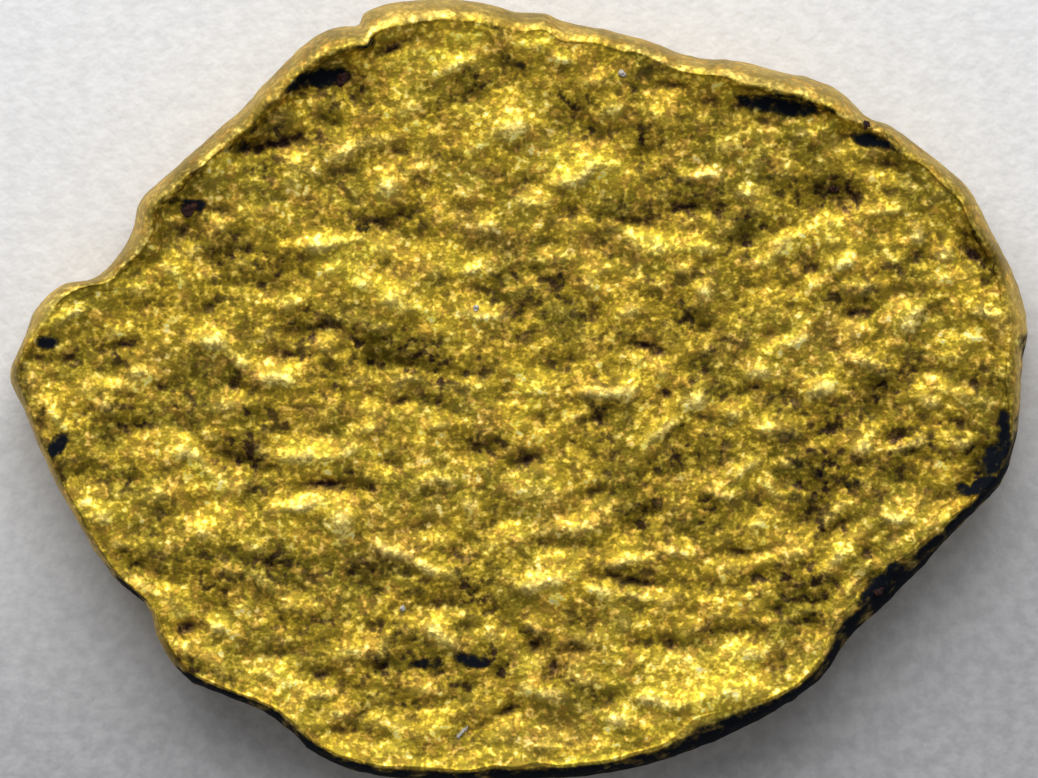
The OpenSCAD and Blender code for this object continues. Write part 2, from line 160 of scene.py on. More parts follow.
# Lumps and hollows: middle, half-length and half-width in pixels, turn in degrees, height in millimetres
TOP_LEFT_LUMPS = [
    (392, 47, 22, 9, 20, -0.08), (458, 48, 16, 8, 0, -0.04), (452, 70, 24, 8, 28, 0.06),
    (505, 33, 16, 10, -10, 0.06), (505, 72, 14, 12, 0, -0.08), (485, 92, 26, 11, 5, -0.05),
    (465, 100, 18, 8, 20, -0.05), (358, 95, 20, 16, -30, -0.08), (330, 122, 22, 9, -10, -0.08),
    (385, 82, 16, 10, 0, -0.03), (282, 146, 24, 11, 12, -0.13), (280, 113, 12, 8, 30, 0.04),
    (348, 153, 18, 10, 20, 0.08), (378, 142, 24, 8, 8, 0.06), (393, 155, 20, 9, 20, -0.06),
    (390, 187, 16, 16, 0, 0.12), (415, 172, 14, 8, 30, 0.04), (330, 188, 13, 10, 0, -0.07),
    (402, 113, 16, 10, 0, 0.05), (420, 103, 14, 7, 10, 0.04), (512, 131, 22, 13, 0, 0.14),
    (476, 146, 22, 10, 30, 0.06), (292, 185, 12, 12, 0, 0.05), (345, 176, 14, 7, -20, -0.03),
    (437, 193, 14, 6, -30, -0.03), (466, 192, 13, 7, 10, 0.03), (312, 135, 16, 10, 20, -0.04),
    (312, 172, 14, 8, -10, 0.03), (185, 175, 26, 8, 38, 0.06), (210, 180, 24, 14, 10, 0.05),
    (245, 152, 14, 8, 0, -0.07), (256, 167, 14, 12, 0, -0.06), (215, 212, 9, 7, 0, -0.05),
    (250, 132, 18, 8, 10, 0.03),
]
TOP_RIGHT_LUMPS = [
    (545, 27, 12, 8, 0, 0.03), (562, 61, 12, 8, 0, 0.09), (530, 48, 20, 10, -20, 0.05),
    (592, 81, 14, 8, 10, 0.06), (617, 107, 13, 8, 10, 0.06), (580, 126, 28, 16, -15, -0.10),
    (598, 139, 14, 10, 0, -0.05), (560, 137, 14, 10, 0, -0.05), (618, 127, 10, 7, 0, -0.04),
    (665, 90, 22, 9, 0, -0.06), (682, 85, 10, 6, 0, -0.03), (712, 104, 14, 9, 0, -0.05),
    (740, 107, 11, 8, 0, -0.07), (765, 124, 18, 9, -15, -0.10), (657, 118, 30, 14, 0, 0.05),
    (640, 155, 16, 10, 0, -0.05), (633, 165, 12, 9, 0, -0.03), (578, 177, 32, 13, 22, 0.14),
    (527, 184, 14, 9, 5, -0.07), (707, 178, 24, 8, -8, 0.09), (747, 196, 16, 9, -10, 0.09),
    (728, 150, 15, 11, 0, 0.07), (693, 165, 14, 5, 0, -0.03), (686, 211, 22, 9, 0, -0.13),
    (528, 205, 20, 8, 10, 0.06), (530, 150, 14, 10, -30, 0.03), (757, 165, 14, 14, 0, 0.03),
    (648, 175, 8, 6, 0, 0.02), (824, 114, 9, 7, 0, -0.05), (827, 142, 14, 14, 0, 0.06),
    (800, 130, 14, 8, -30, 0.03), (788, 141, 9, 6, 0, -0.03), (883, 167, 26, 9, -10, -0.06),
    (838, 199, 26, 15, 5, -0.15), (818, 188, 14, 10, 0, -0.05), (785, 172, 16, 9, 30, 0.05),
    (755, 212, 14, 8, 0, 0.05), (788, 228, 18, 8, 20, -0.07), (888, 230, 20, 10, -15, -0.05),
    (892, 211, 16, 7, 0, 0.05), (918, 234, 10, 10, 0, 0.07), (946, 227, 14, 11, 40, -0.05),
    (917, 214, 9, 6, 0, -0.04), (945, 196, 20, 9, 20, 0.05), (958, 206, 7, 5, 0, -0.03),
    (893, 193, 13, 5, 0, -0.02), (785, 247, 14, 9, 10, 0.07), (750, 235, 14, 8, 20, -0.06),
    (832, 244, 14, 8, 0, 0.04),
]
LEFT_LUMPS = [
    (180, 236, 26, 14, 12, -0.16), (208, 255, 10, 9, 0, -0.07), (240, 254, 15, 8, 10, -0.07),
    (218, 270, 16, 7, -25, -0.06), (168, 267, 12, 9, 0, 0.06), (183, 280, 10, 8, -40, 0.04),
    (133, 292, 20, 8, 5, 0.05), (213, 311, 10, 7, 0, -0.06), (245, 285, 24, 7, 5, -0.06),
    (272, 292, 14, 7, 0, -0.06), (300, 276, 14, 6, 0, -0.03), (270, 212, 14, 8, 0, 0.04),
    (215, 232, 14, 8, 20, 0.04), (245, 220, 30, 12, 10, 0.04), (326, 243, 24, 9, 0, 0.10),
    (300, 250, 34, 12, 0, 0.05), (330, 270, 22, 9, -10, 0.05), (362, 285, 16, 9, 0, 0.06),
    (295, 303, 22, 10, 10, 0.05), (72, 313, 22, 9, 18, 0.08), (48, 324, 16, 8, 15, 0.04),
    (112, 330, 12, 9, 0, 0.04), (35, 357, 20, 7, 0, -0.07), (70, 360, 11, 8, 10, -0.08),
    (127, 344, 16, 7, 5, -0.08), (100, 350, 22, 7, 0, -0.04), (105, 368, 16, 8, 0, -0.04),
    (215, 342, 20, 12, -10, 0.13), (243, 361, 14, 11, -20, 0.09), (180, 350, 30, 14, 0, 0.03),
    (275, 380, 24, 10, -5, 0.12), (288, 356, 24, 7, -3, -0.10), (295, 333, 16, 7, 0, -0.08),
    (325, 333, 20, 7, 5, -0.09), (322, 350, 14, 7, -10, 0.03), (330, 376, 12, 10, 0, -0.04),
    (335, 388, 16, 12, -30, -0.06), (140, 375, 24, 10, 0, 0.06), (130, 390, 24, 9, -10, 0.05),
    (108, 407, 12, 9, 0, 0.07), (90, 392, 14, 8, 0, 0.04), (165, 388, 20, 8, 10, -0.06),
    (195, 377, 8, 6, 0, -0.05), (235, 386, 12, 8, 0, -0.06), (58, 379, 10, 7, -20, -0.04),
    (28, 385, 12, 12, 0, 0.05), (45, 405, 20, 9, -45, 0.04), (62, 425, 18, 9, -45, 0.04),
    (85, 413, 10, 8, 20, -0.04), (225, 405, 26, 8, 0, 0.05), (138, 430, 16, 9, 10, -0.05),
    (183, 427, 14, 10, -30, -0.06), (110, 445, 22, 12, 0, -0.06), (208, 430, 14, 6, -30, 0.03),
    (290, 428, 20, 10, 25, -0.05), (325, 437, 18, 8, 0, -0.06), (265, 418, 10, 7, 0, -0.03),
    (270, 430, 12, 10, 30, 0.03), (185, 455, 16, 9, 10, 0.07), (140, 455, 14, 6, 0, 0.03),
    (228, 455, 28, 9, -22, -0.07),
]
MIDDLE_LUMPS = [
    (378, 227, 28, 12, -8, -0.14), (400, 215, 18, 9, 0, -0.05), (410, 245, 18, 12, 20, -0.05),
    (388, 270, 14, 7, 10, -0.04), (390, 302, 22, 12, 5, 0.13), (412, 310, 18, 9, 0, 0.07),
    (372, 325, 26, 9, 5, 0.08), (440, 330, 18, 12, 0, 0.04), (485, 228, 18, 9, -5, 0.07),
    (445, 225, 16, 8, -30, 0.02), (548, 213, 12, 10, 90, 0.05), (465, 207, 14, 7, 0, -0.05),
    (570, 212, 11, 6, 10, -0.05), (570, 230, 18, 8, 0, 0.03), (545, 246, 10, 6, 0, -0.05),
    (555, 258, 24, 6, 0, 0.03), (480, 248, 14, 10, 20, -0.05), (475, 270, 16, 6, 20, 0.04),
    (440, 270, 14, 12, -45, 0.03), (532, 273, 12, 7, 0, -0.05), (530, 288, 20, 8, 10, 0.03),
    (478, 292, 16, 11, -20, -0.07), (500, 302, 12, 8, 0, -0.06), (505, 282, 12, 8, 10, -0.05),
    (415, 282, 20, 8, 10, 0.03), (485, 316, 22, 7, -10, 0.06), (508, 330, 16, 7, -30, 0.03),
    (525, 312, 14, 10, 0, -0.04), (562, 282, 12, 8, 0, -0.05), (560, 312, 18, 7, -10, 0.03),
    (595, 245, 18, 10, 10, -0.07), (625, 262, 16, 8, -25, -0.05), (590, 285, 11, 11, 0, 0.07),
    (605, 272, 14, 8, 20, 0.05), (596, 316, 11, 9, 20, -0.07), (632, 313, 16, 10, 0, 0.05),
    (645, 224, 26, 9, -10, -0.10), (615, 217, 12, 5, -10, -0.05), (655, 250, 22, 8, -5, 0.06),
    (680, 270, 12, 8, 10, 0.06), (655, 285, 22, 8, 5, 0.05), (637, 348, 20, 8, 8, -0.11),
    (662, 353, 14, 6, -15, -0.09), (590, 340, 16, 9, 0, 0.03), (570, 362, 14, 8, -15, -0.07),
    (545, 365, 22, 9, 0, -0.05), (620, 365, 10, 8, 30, -0.05), (665, 370, 10, 8, 10, 0.04),
    (692, 371, 16, 9, -5, -0.05), (470, 375, 26, 7, 0, -0.06), (370, 367, 18, 10, -10, -0.06),
    (410, 367, 22, 7, -10, -0.08), (415, 378, 20, 5, -8, 0.03), (345, 350, 8, 6, 0, -0.04),
    (372, 393, 10, 8, 0, -0.07), (400, 402, 18, 8, 5, -0.08), (440, 407, 14, 9, -40, -0.07),
    (452, 385, 12, 8, 60, 0.03), (478, 390, 12, 6, 0, 0.02), (508, 396, 11, 9, 0, -0.06),
    (510, 368, 14, 8, 0, 0.03), (612, 393, 26, 10, 0, 0.14), (628, 405, 10, 10, 0, 0.06),
    (585, 395, 14, 8, 0, 0.05), (535, 395, 16, 6, 0, 0.03), (580, 415, 18, 6, 40, 0.04),
    (540, 417, 12, 7, 0, -0.06), (598, 422, 12, 8, 20, -0.05), (668, 394, 9, 7, 0, -0.07),
    (490, 425, 30, 12, 0, 0.04), (520, 445, 20, 10, 10, 0.02), (370, 430, 18, 12, 0, 0.04),
    (352, 453, 14, 8, 0, 0.05), (440, 427, 14, 6, 0, 0.03), (345, 425, 10, 7, 20, -0.04),
    (575, 447, 12, 8, -20, -0.08), (478, 451, 20, 9, 10, -0.10), (455, 448, 14, 10, 30, -0.04),
    (655, 440, 22, 12, 35, 0.08), (672, 425, 18, 7, 30, 0.06),
]
RIGHT_LUMPS = [
    (700, 232, 9, 9, 0, -0.06), (716, 213, 10, 8, 0, -0.04), (728, 228, 11, 6, 20, 0.03),
    (738, 243, 10, 6, 0, -0.04), (760, 262, 24, 7, 15, 0.05), (700, 250, 20, 7, 0, 0.05),
    (707, 264, 10, 7, 0, -0.03), (812, 267, 12, 7, 0, -0.06), (788, 272, 10, 6, 0, 0.03),
    (842, 267, 15, 9, 10, 0.10), (818, 282, 14, 8, 20, 0.05), (860, 288, 26, 8, 0, 0.07),
    (895, 262, 14, 7, 10, 0.04), (918, 257, 12, 9, 20, -0.06), (943, 257, 11, 9, 0, 0.05),
    (975, 257, 20, 8, -35, -0.12), (1000, 282, 18, 9, 0, -0.10), (940, 280, 20, 9, 0, 0.04),
    (902, 296, 12, 7, 0, -0.05), (703, 294, 14, 9, -20, 0.08), (785, 288, 12, 6, 0, -0.04),
    (750, 295, 24, 9, 20, -0.04), (735, 310, 10, 7, 0, -0.04), (705, 327, 13, 9, 0, -0.07),
    (690, 318, 10, 8, 0, -0.04), (855, 313, 16, 9, 10, -0.10), (885, 308, 12, 7, 30, -0.05),
    (908, 325, 12, 11, 90, 0.10), (917, 310, 10, 8, 30, 0.06), (938, 311, 11, 8, 20, -0.05),
    (990, 312, 22, 9, -15, 0.11), (1005, 330, 14, 12, 90, 0.09), (950, 327, 12, 5, -45, -0.03),
    (803, 310, 16, 7, 0, -0.04), (770, 335, 18, 7, 15, -0.06), (755, 350, 12, 7, 30, -0.03),
    (795, 342, 18, 7, 10, 0.06), (830, 345, 14, 10, -30, -0.05), (818, 333, 9, 8, 0, -0.05),
    (862, 335, 10, 7, 0, 0.03), (875, 342, 14, 6, 0, -0.03), (875, 367, 20, 11, -10, 0.08),
    (850, 360, 14, 7, 10, 0.05), (890, 348, 12, 8, 0, 0.03), (940, 370, 26, 9, -8, -0.06),
    (965, 380, 16, 7, -15, -0.04), (915, 375, 12, 10, 0, -0.05), (992, 350, 12, 7, -20, -0.06),
    (970, 343, 9, 6, 0, 0.04), (760, 373, 16, 9, 0, 0.06), (800, 368, 10, 7, 0, -0.03),
    (820, 393, 18, 11, 0, 0.14), (835, 378, 12, 10, 0, 0.05), (697, 402, 15, 10, 0, 0.10),
    (740, 395, 22, 7, 10, -0.05), (755, 390, 10, 6, 0, -0.03), (788, 398, 10, 7, 0, -0.06),
    (868, 413, 16, 12, 15, -0.06), (928, 403, 16, 8, -5, 0.08), (975, 400, 24, 9, 0, 0.05),
    (945, 390, 20, 6, 0, 0.04), (950, 400, 8, 6, 0, -0.04), (732, 412, 16, 8, 0, 0.05),
    (765, 410, 14, 10, 30, -0.04), (710, 422, 12, 8, -20, -0.05), (962, 427, 11, 8, 0, -0.08),
    (935, 425, 14, 7, 0, -0.04), (895, 435, 12, 8, 10, -0.08), (835, 430, 22, 9, 10, -0.05),
    (765, 430, 22, 9, -10, 0.06), (795, 432, 16, 12, 0, 0.04), (990, 410, 12, 12, 0, 0.05),
    (865, 447, 16, 12, 10, 0.08), (905, 447, 20, 7, 10, 0.06), (962, 445, 14, 9, 0, 0.07),
    (808, 443, 9, 6, 0, -0.04), (815, 452, 12, 8, 0, 0.04), (990, 448, 12, 9, 0, -0.06),
]
LOWER_LEFT_LUMPS = [
    (245, 468, 18, 9, -25, -0.06), (268, 472, 10, 8, 0, -0.05), (82, 474, 26, 10, 5, -0.09),
    (125, 482, 24, 7, 5, -0.05), (252, 500, 14, 12, 0, -0.05), (258, 486, 10, 8, 0, -0.03),
    (205, 470, 18, 7, -50, 0.04), (235, 487, 18, 9, 10, 0.03), (155, 495, 22, 16, 20, 0.06),
    (205, 505, 10, 8, 0, -0.04), (310, 458, 36, 9, 6, 0.07), (295, 465, 12, 8, 0, 0.03),
    (320, 488, 22, 8, 0, -0.11), (345, 487, 22, 8, -5, -0.09), (300, 508, 30, 9, 8, 0.07),
    (310, 505, 14, 8, 0, 0.03), (100, 520, 20, 11, 30, 0.09), (85, 508, 16, 9, -45, 0.05),
    (140, 530, 20, 8, 0, -0.03), (205, 533, 18, 9, -25, 0.08), (180, 545, 22, 14, -10, 0.05),
    (120, 545, 14, 6, -20, 0.03), (230, 525, 14, 10, 0, 0.04), (250, 545, 24, 9, -25, 0.05),
    (272, 530, 16, 6, -30, 0.03), (340, 525, 20, 14, 5, 0.14), (330, 545, 20, 10, 20, 0.04),
    (120, 555, 14, 7, 0, -0.04), (145, 570, 22, 8, -25, -0.07), (170, 580, 14, 7, 0, -0.03),
    (140, 587, 28, 7, -35, 0.06), (165, 607, 14, 12, -30, 0.05), (232, 575, 16, 8, 0, 0.04),
    (262, 582, 18, 9, -25, 0.06), (268, 563, 12, 7, -30, -0.07), (295, 587, 9, 8, 0, -0.06),
    (213, 607, 14, 11, 0, -0.06), (310, 605, 24, 9, 10, 0.04), (265, 605, 14, 9, 90, -0.04),
    (285, 622, 10, 9, 0, -0.04), (185, 628, 22, 7, 3, -0.11), (222, 630, 13, 8, -10, 0.07),
    (245, 608, 14, 8, 0, 0.02), (185, 652, 28, 8, -35, 0.06), (210, 660, 14, 9, 0, 0.03),
    (283, 654, 26, 9, 5, -0.07), (245, 655, 14, 8, -10, -0.05), (342, 655, 16, 10, 0, 0.05),
    (320, 675, 22, 8, -3, -0.10), (290, 683, 14, 8, 0, 0.05), (275, 672, 10, 8, 0, 0.03),
    (345, 690, 14, 10, 0, -0.05), (322, 693, 14, 6, 0, 0.03),
]
LOWER_MIDDLE_LUMPS = [
    (525, 463, 20, 9, 12, -0.11), (388, 464, 14, 6, 0, -0.06), (445, 482, 16, 8, -10, 0.07),
    (422, 487, 14, 8, 30, 0.04), (472, 503, 12, 12, 0, 0.08), (530, 492, 26, 9, -5, 0.05),
    (590, 497, 24, 8, 15, -0.08), (565, 512, 18, 8, 25, -0.05), (430, 497, 10, 6, 0, -0.04),
    (432, 512, 10, 7, 0, 0.03), (430, 530, 18, 9, -10, -0.07), (455, 553, 12, 8, 15, -0.07),
    (470, 540, 10, 8, 0, -0.05), (510, 522, 18, 9, 0, -0.07), (508, 510, 10, 8, 0, -0.04),
    (560, 530, 30, 7, 12, 0.04), (590, 522, 14, 7, 25, 0.03), (575, 545, 22, 7, -3, -0.06),
    (545, 545, 14, 9, 0, -0.07), (635, 530, 14, 12, -30, -0.10), (648, 516, 12, 7, -15, -0.09),
    (685, 533, 14, 8, 0, -0.07), (385, 548, 16, 9, -10, 0.11), (408, 558, 22, 10, -25, 0.07),
    (428, 568, 14, 9, -25, 0.08), (450, 575, 20, 12, 0, 0.04), (400, 585, 22, 8, 0, 0.02),
    (370, 588, 22, 12, 0, -0.07), (350, 575, 12, 8, 0, -0.04), (448, 607, 18, 9, 8, -0.10),
    (425, 610, 14, 8, 0, -0.04), (498, 548, 16, 9, 20, 0.05), (540, 583, 26, 10, 5, 0.12),
    (555, 597, 12, 9, -20, 0.06), (530, 592, 12, 9, 0, 0.05), (575, 575, 16, 9, 0, 0.04),
    (510, 575, 16, 9, 0, 0.04), (595, 590, 14, 9, 0, 0.05), (540, 613, 14, 6, 0, -0.03),
    (625, 563, 28, 7, 8, 0.08), (597, 575, 9, 9, 0, -0.05), (640, 583, 34, 7, -3, -0.09),
    (675, 553, 18, 8, -8, 0.06), (610, 605, 12, 8, -40, 0.05), (640, 597, 20, 6, 0, 0.04),
    (622, 620, 12, 10, -60, 0.04), (642, 612, 8, 7, 0, -0.03), (668, 603, 12, 9, 20, 0.03),
    (585, 622, 16, 7, 10, -0.04), (505, 620, 22, 7, -25, -0.07), (470, 627, 14, 6, 10, -0.06),
    (370, 632, 14, 7, 0, -0.03), (432, 635, 16, 10, -20, 0.10), (450, 647, 18, 7, 0, 0.05),
    (385, 648, 12, 9, 15, 0.07), (360, 652, 16, 8, 0, 0.06), (400, 632, 12, 8, 0, 0.05),
    (495, 637, 16, 8, -20, 0.03), (535, 628, 12, 8, -30, 0.05), (535, 650, 12, 10, 0, -0.13),
    (527, 640, 10, 8, -30, -0.04), (553, 670, 11, 10, 40, -0.12), (570, 655, 16, 6, 10, -0.06),
    (580, 640, 22, 7, 10, 0.03), (385, 668, 9, 6, 0, -0.05), (445, 673, 14, 6, 0, -0.05),
    (475, 665, 14, 8, -30, 0.02), (640, 645, 14, 9, 0, -0.07), (667, 647, 12, 11, 20, -0.11),
    (530, 687, 14, 12, 10, 0.07), (553, 697, 18, 9, 0, 0.09), (582, 682, 16, 8, -10, 0.06),
    (600, 672, 10, 9, 30, -0.05), (610, 697, 16, 8, 10, -0.05), (470, 690, 10, 9, 0, -0.05),
    (430, 690, 22, 6, -15, 0.03), (400, 700, 12, 9, 0, -0.05), (645, 700, 14, 7, 0, 0.04),
]
LOWER_RIGHT_LUMPS = [
    (985, 463, 14, 8, 20, 0.03), (720, 465, 20, 7, 0, -0.03), (748, 470, 20, 7, 40, 0.05),
    (772, 458, 9, 6, 0, -0.05), (785, 463, 14, 6, -40, 0.03), (790, 483, 12, 7, 0, -0.05),
    (770, 490, 16, 7, -45, 0.05), (715, 495, 16, 9, -20, 0.07), (835, 490, 10, 7, 0, -0.04),
    (867, 483, 12, 9, 30, 0.04), (905, 483, 20, 8, -20, -0.06), (945, 500, 20, 8, -12, -0.06),
    (985, 486, 14, 8, 0, -0.06), (755, 505, 14, 12, 90, -0.04), (800, 520, 18, 10, 15, -0.11),
    (820, 510, 14, 8, 50, -0.06), (840, 508, 10, 8, 30, 0.03), (840, 530, 20, 8, 25, -0.09),
    (895, 518, 20, 9, 0, 0.10), (950, 523, 22, 8, 15, 0.09), (925, 533, 16, 8, 35, 0.05),
    (755, 527, 14, 8, 0, 0.04), (740, 552, 20, 6, 10, -0.08), (872, 548, 14, 9, -20, -0.08),
    (797, 553, 18, 9, 10, 0.08), (835, 565, 18, 12, 25, 0.10), (810, 575, 22, 10, 0, 0.05),
    (730, 570, 16, 8, 0, 0.04), (760, 575, 18, 8, 20, -0.06), (870, 565, 18, 7, 45, 0.05),
    (855, 590, 16, 9, 50, 0.06), (905, 553, 16, 7, 30, 0.03), (705, 585, 16, 12, 0, -0.05),
    (755, 605, 12, 8, 0, 0.03), (780, 610, 12, 8, -20, -0.07), (812, 603, 14, 6, 0, -0.04),
    (730, 635, 34, 10, 3, -0.10), (695, 650, 18, 8, 0, -0.09), (690, 613, 14, 8, -20, -0.06),
    (695, 632, 10, 5, 0, 0.03), (808, 625, 12, 8, 15, -0.07), (842, 617, 14, 9, 10, 0.05),
    (752, 655, 14, 6, 0, 0.05), (780, 660, 16, 8, 30, -0.03), (760, 670, 18, 7, 15, -0.03),
    (790, 645, 9, 9, 0, -0.04), (812, 647, 9, 6, 0, 0.04), (805, 668, 14, 9, 45, 0.03),
    (740, 700, 44, 12, 8, 0.12),
]
LOWEST_LUMPS = [
    (368, 712, 10, 6, 0, -0.06), (345, 730, 22, 9, 20, -0.07), (380, 740, 16, 8, 0, -0.07),
    (335, 712, 14, 6, 0, 0.04), (430, 705, 22, 8, 0, -0.05), (400, 715, 14, 8, 0, -0.04),
    (485, 728, 16, 9, 10, -0.06), (510, 715, 20, 8, 15, -0.11), (555, 724, 40, 9, 0, -0.05),
    (430, 735, 16, 8, 10, 0.04), (425, 755, 14, 7, 0, -0.06), (545, 748, 24, 7, 0, 0.06),
    (620, 720, 16, 9, -10, 0.07), (600, 707, 16, 8, 20, -0.05), (665, 705, 30, 9, -15, 0.06),
]
FACE_LUMPS = (
    TOP_LEFT_LUMPS + TOP_RIGHT_LUMPS + LEFT_LUMPS + MIDDLE_LUMPS + RIGHT_LUMPS
    + LOWER_LEFT_LUMPS + LOWER_MIDDLE_LUMPS + LOWER_RIGHT_LUMPS + LOWEST_LUMPS
)

# How much of those heights the lumps have, and how much paler a millimetre of height paints the metal:
# painted light on lumps, painted shade in hollows
LUMP_SHARE, LUMP_TONE = 0.70, 2.4

# Black painted shadow in pits and pockets: middle, half-length and half-width in pixels, turn in degrees,
# and how black
SHADOW_PITS = [
    (318, 79, 28, 12, 14, 1), (298, 85, 18, 8, 22, 1), (346, 75, 10, 7, 30, 0.7),
    (364, 45, 10, 6, 20, 0.9), (236, 146, 12, 5, 20, 0.6), (192, 207, 14, 6, 5, 1),
    (176, 203, 9, 4, 0, 0.7), (194, 219, 13, 9, 0, 0.5), (778, 106, 32, 10, -8, 1),
    (749, 100, 14, 5, -20, 0.9), (801, 109, 14, 6, -5, 0.9), (826, 109, 8, 4, -20, 0.8),
    (868, 142, 22, 6, -12, 1), (890, 147, 10, 5, -20, 0.8), (50, 343, 11, 7, 10, 1),
    (57, 447, 9, 15, -25, 1), (40, 415, 6, 14, -20, 0.6), (1002, 434, 7, 26, -4, 1),
    (990, 460, 12, 18, -10, 1), (984, 486, 16, 9, 40, 1), (965, 490, 10, 7, 0, 0.9),
    (945, 455, 10, 7, 0, 0.5), (365, 228, 9, 6, 0, 0.8), (832, 190, 10, 7, 0, 0.5),
    (646, 212, 8, 5, 0, 0.5), (512, 62, 14, 7, -25, 0.6), (576, 127, 12, 6, -5, 0.5),
    (800, 462, 14, 9, -30, 0.5), (822, 474, 16, 9, -30, 0.5), (846, 484, 14, 7, -20, 0.7),
    (792, 500, 10, 7, 0, 0.5), (728, 422, 11, 6, 0, 0.6), (470, 658, 22, 7, -8, 0.9),
    (428, 664, 18, 7, 0, 0.7), (390, 570, 12, 6, 0, 0.5), (636, 570, 18, 5, 5, 0.4),
    (882, 588, 32, 11, 48, 1), (850, 630, 20, 6, 52, 0.7), (708, 738, 24, 8, 25, 1),
    (640, 769, 28, 6, 8, 0.8),
]

# Tarnish, wear, and painted light and shade, such as the paler patches just inside the rim
# Patches: middle, half-length and half-width in pixels, turn in degrees, and tone, below 0 where darker
TONES = [
    (412, 75, 26, 18, 0, 0.32), (440, 40, 60, 24, 0, 0.22), (465, 81, 34, 13, 0, -0.28),
    (545, 42, 40, 14, -8, 0.18), (720, 95, 34, 18, -20, 0.14), (222, 165, 22, 14, 40, 0.22),
    (262, 132, 32, 9, 12, -0.30), (300, 108, 20, 12, 30, 0.18), (320, 185, 26, 20, 0, 0.14),
    (500, 107, 28, 16, 0, 0.36), (574, 150, 56, 34, 0, 0.18), (576, 100, 16, 10, 0, -0.40),
    (640, 108, 36, 14, 0, -0.22), (650, 150, 24, 20, 0, -0.15), (651, 143, 16, 10, -20, -0.40),
    (704, 192, 36, 16, -8, -0.35), (755, 131, 40, 14, -8, 0.18), (820, 180, 40, 22, 0, -0.25),
    (830, 122, 20, 14, -20, 0.18), (940, 195, 30, 16, -45, 0.22), (165, 225, 14, 20, 0, 0.18),
    (176, 256, 36, 20, 0, 0.18), (225, 249, 20, 9, 0, -0.45), (267, 262, 34, 26, 0, -0.25),
    (370, 262, 40, 26, 0, 0.28), (636, 208, 26, 10, 5, -0.30), (644, 231, 54, 16, 0, 0.18),
    (744, 222, 28, 15, 0, -0.30), (839, 221, 52, 24, 0, 0.16), (854, 296, 28, 18, 0, -0.30),
    (986, 247, 30, 9, -48, -0.35), (40, 372, 20, 14, -20, 0.18), (75, 305, 36, 14, 15, 0.42),
    (235, 371, 26, 14, 0, -0.22), (260, 350, 26, 20, 0, 0.14), (305, 318, 36, 15, 0, -0.32),
    (370, 343, 16, 22, 10, -0.55), (395, 355, 36, 22, 0, -0.35), (415, 352, 26, 14, 0, -0.35),
    (445, 378, 24, 18, 0, -0.20), (556, 312, 44, 36, 0, -0.25), (704, 306, 24, 18, 0, -0.28),
    (800, 344, 46, 24, 0, 0.18), (870, 374, 30, 20, 0, -0.40), (880, 390, 18, 12, 0, -0.60),
    (909, 304, 28, 16, 0, 0.16), (1003, 305, 12, 26, 0, 0.22), (1016, 335, 10, 44, 4, 0.25),
    (90, 490, 20, 20, 0, 0.22), (125, 420, 24, 10, 10, -0.45), (185, 444, 38, 18, 0, 0.18),
    (240, 450, 40, 13, -18, -0.30), (250, 415, 26, 26, 0, -0.25), (300, 449, 64, 12, 0, 0.20),
    (310, 420, 20, 20, 0, 0.11), (358, 478, 22, 12, -10, -0.50), (481, 445, 24, 14, 0, -0.28),
    (609, 413, 30, 26, 0, -0.32), (672, 464, 46, 14, 12, -0.28), (684, 430, 28, 18, 0, -0.32),
    (814, 484, 13, 9, -20, -0.50), (820, 459, 50, 26, -10, -0.40), (820, 408, 40, 24, 0, -0.25),
    (869, 420, 26, 22, 0, 0.18), (908, 453, 22, 11, 10, -0.50), (975, 465, 14, 32, -25, -0.60),
    (140, 580, 18, 20, 0, 0.22), (152, 563, 28, 12, -10, -0.30), (210, 575, 28, 18, 0, -0.25),
    (290, 569, 36, 20, 0, -0.35), (322, 500, 36, 14, 0, 0.18), (382, 566, 36, 16, 10, -0.35),
    (400, 525, 34, 24, 0, 0.18), (470, 590, 28, 20, 0, -0.25), (548, 560, 60, 32, 0, 0.18),
    (568, 508, 60, 24, 10, 0.20), (620, 590, 30, 18, 0, 0.11), (630, 570, 44, 11, 0, -0.30),
    (640, 503, 36, 18, 0, -0.30), (712, 510, 24, 18, 0, -0.40), (812, 586, 44, 28, 0, -0.35),
    (832, 532, 13, 9, 10, -0.50), (919, 509, 54, 16, 10, 0.12), (185, 630, 20, 20, 0, 0.22),
    (192, 664, 22, 8, -25, -0.45), (275, 664, 54, 18, -15, 0.20), (330, 605, 24, 20, 0, -0.15),
    (380, 661, 38, 10, 0, -0.28), (410, 640, 34, 18, 0, -0.28), (420, 665, 24, 14, 0, -0.25),
    (440, 620, 28, 20, 0, 0.18), (480, 660, 26, 12, 0, -0.30), (498, 666, 12, 10, 0, -0.50),
    (540, 665, 20, 18, 0, 0.22), (545, 636, 44, 10, -20, -0.25), (560, 690, 44, 18, 0, -0.22),
    (620, 690, 24, 20, 0, 0.18), (686, 672, 84, 30, 0, 0.34), (275, 708, 36, 14, -15, 0.25),
    (390, 752, 46, 18, -10, 0.29), (500, 752, 44, 14, 0, 0.29), (555, 725, 30, 14, 0, 0.29),
    (580, 766, 28, 9, 0, 0.40), (670, 735, 50, 22, 5, 0.22), (715, 716, 30, 14, 12, 0.22),
    (763, 705, 32, 10, 15, 0.43), (765, 703, 30, 18, 10, 0.32),
]
TONE_BASE = 5.2

# Finer mottling of the metal between those patches: wave in millimetres, and tone
MOTTLE_WAVE, MOTTLE_TONE = 0.46, 0.27

# A slow noise that bends the lumps' edges, and pebbles between them: waves and heights in millimetres
BEND_WAVE, BEND_REACH = 0.5, 0.07
PEBBLE_WAVES = [(0.62, 0.012), (0.33, 0.016), (0.18, 0.012)]
CREASE_SHARE = 0.25

# The way of the metal's grain, and how far the pebbles are stretched along it
GRAIN_TURN = math.radians(10)
GRAIN_STRETCH = 1.12

# Shallow dents of the worn underside, in millimetres
DENT_WAVE, DENT_DEPTH = 1.1, 0.09
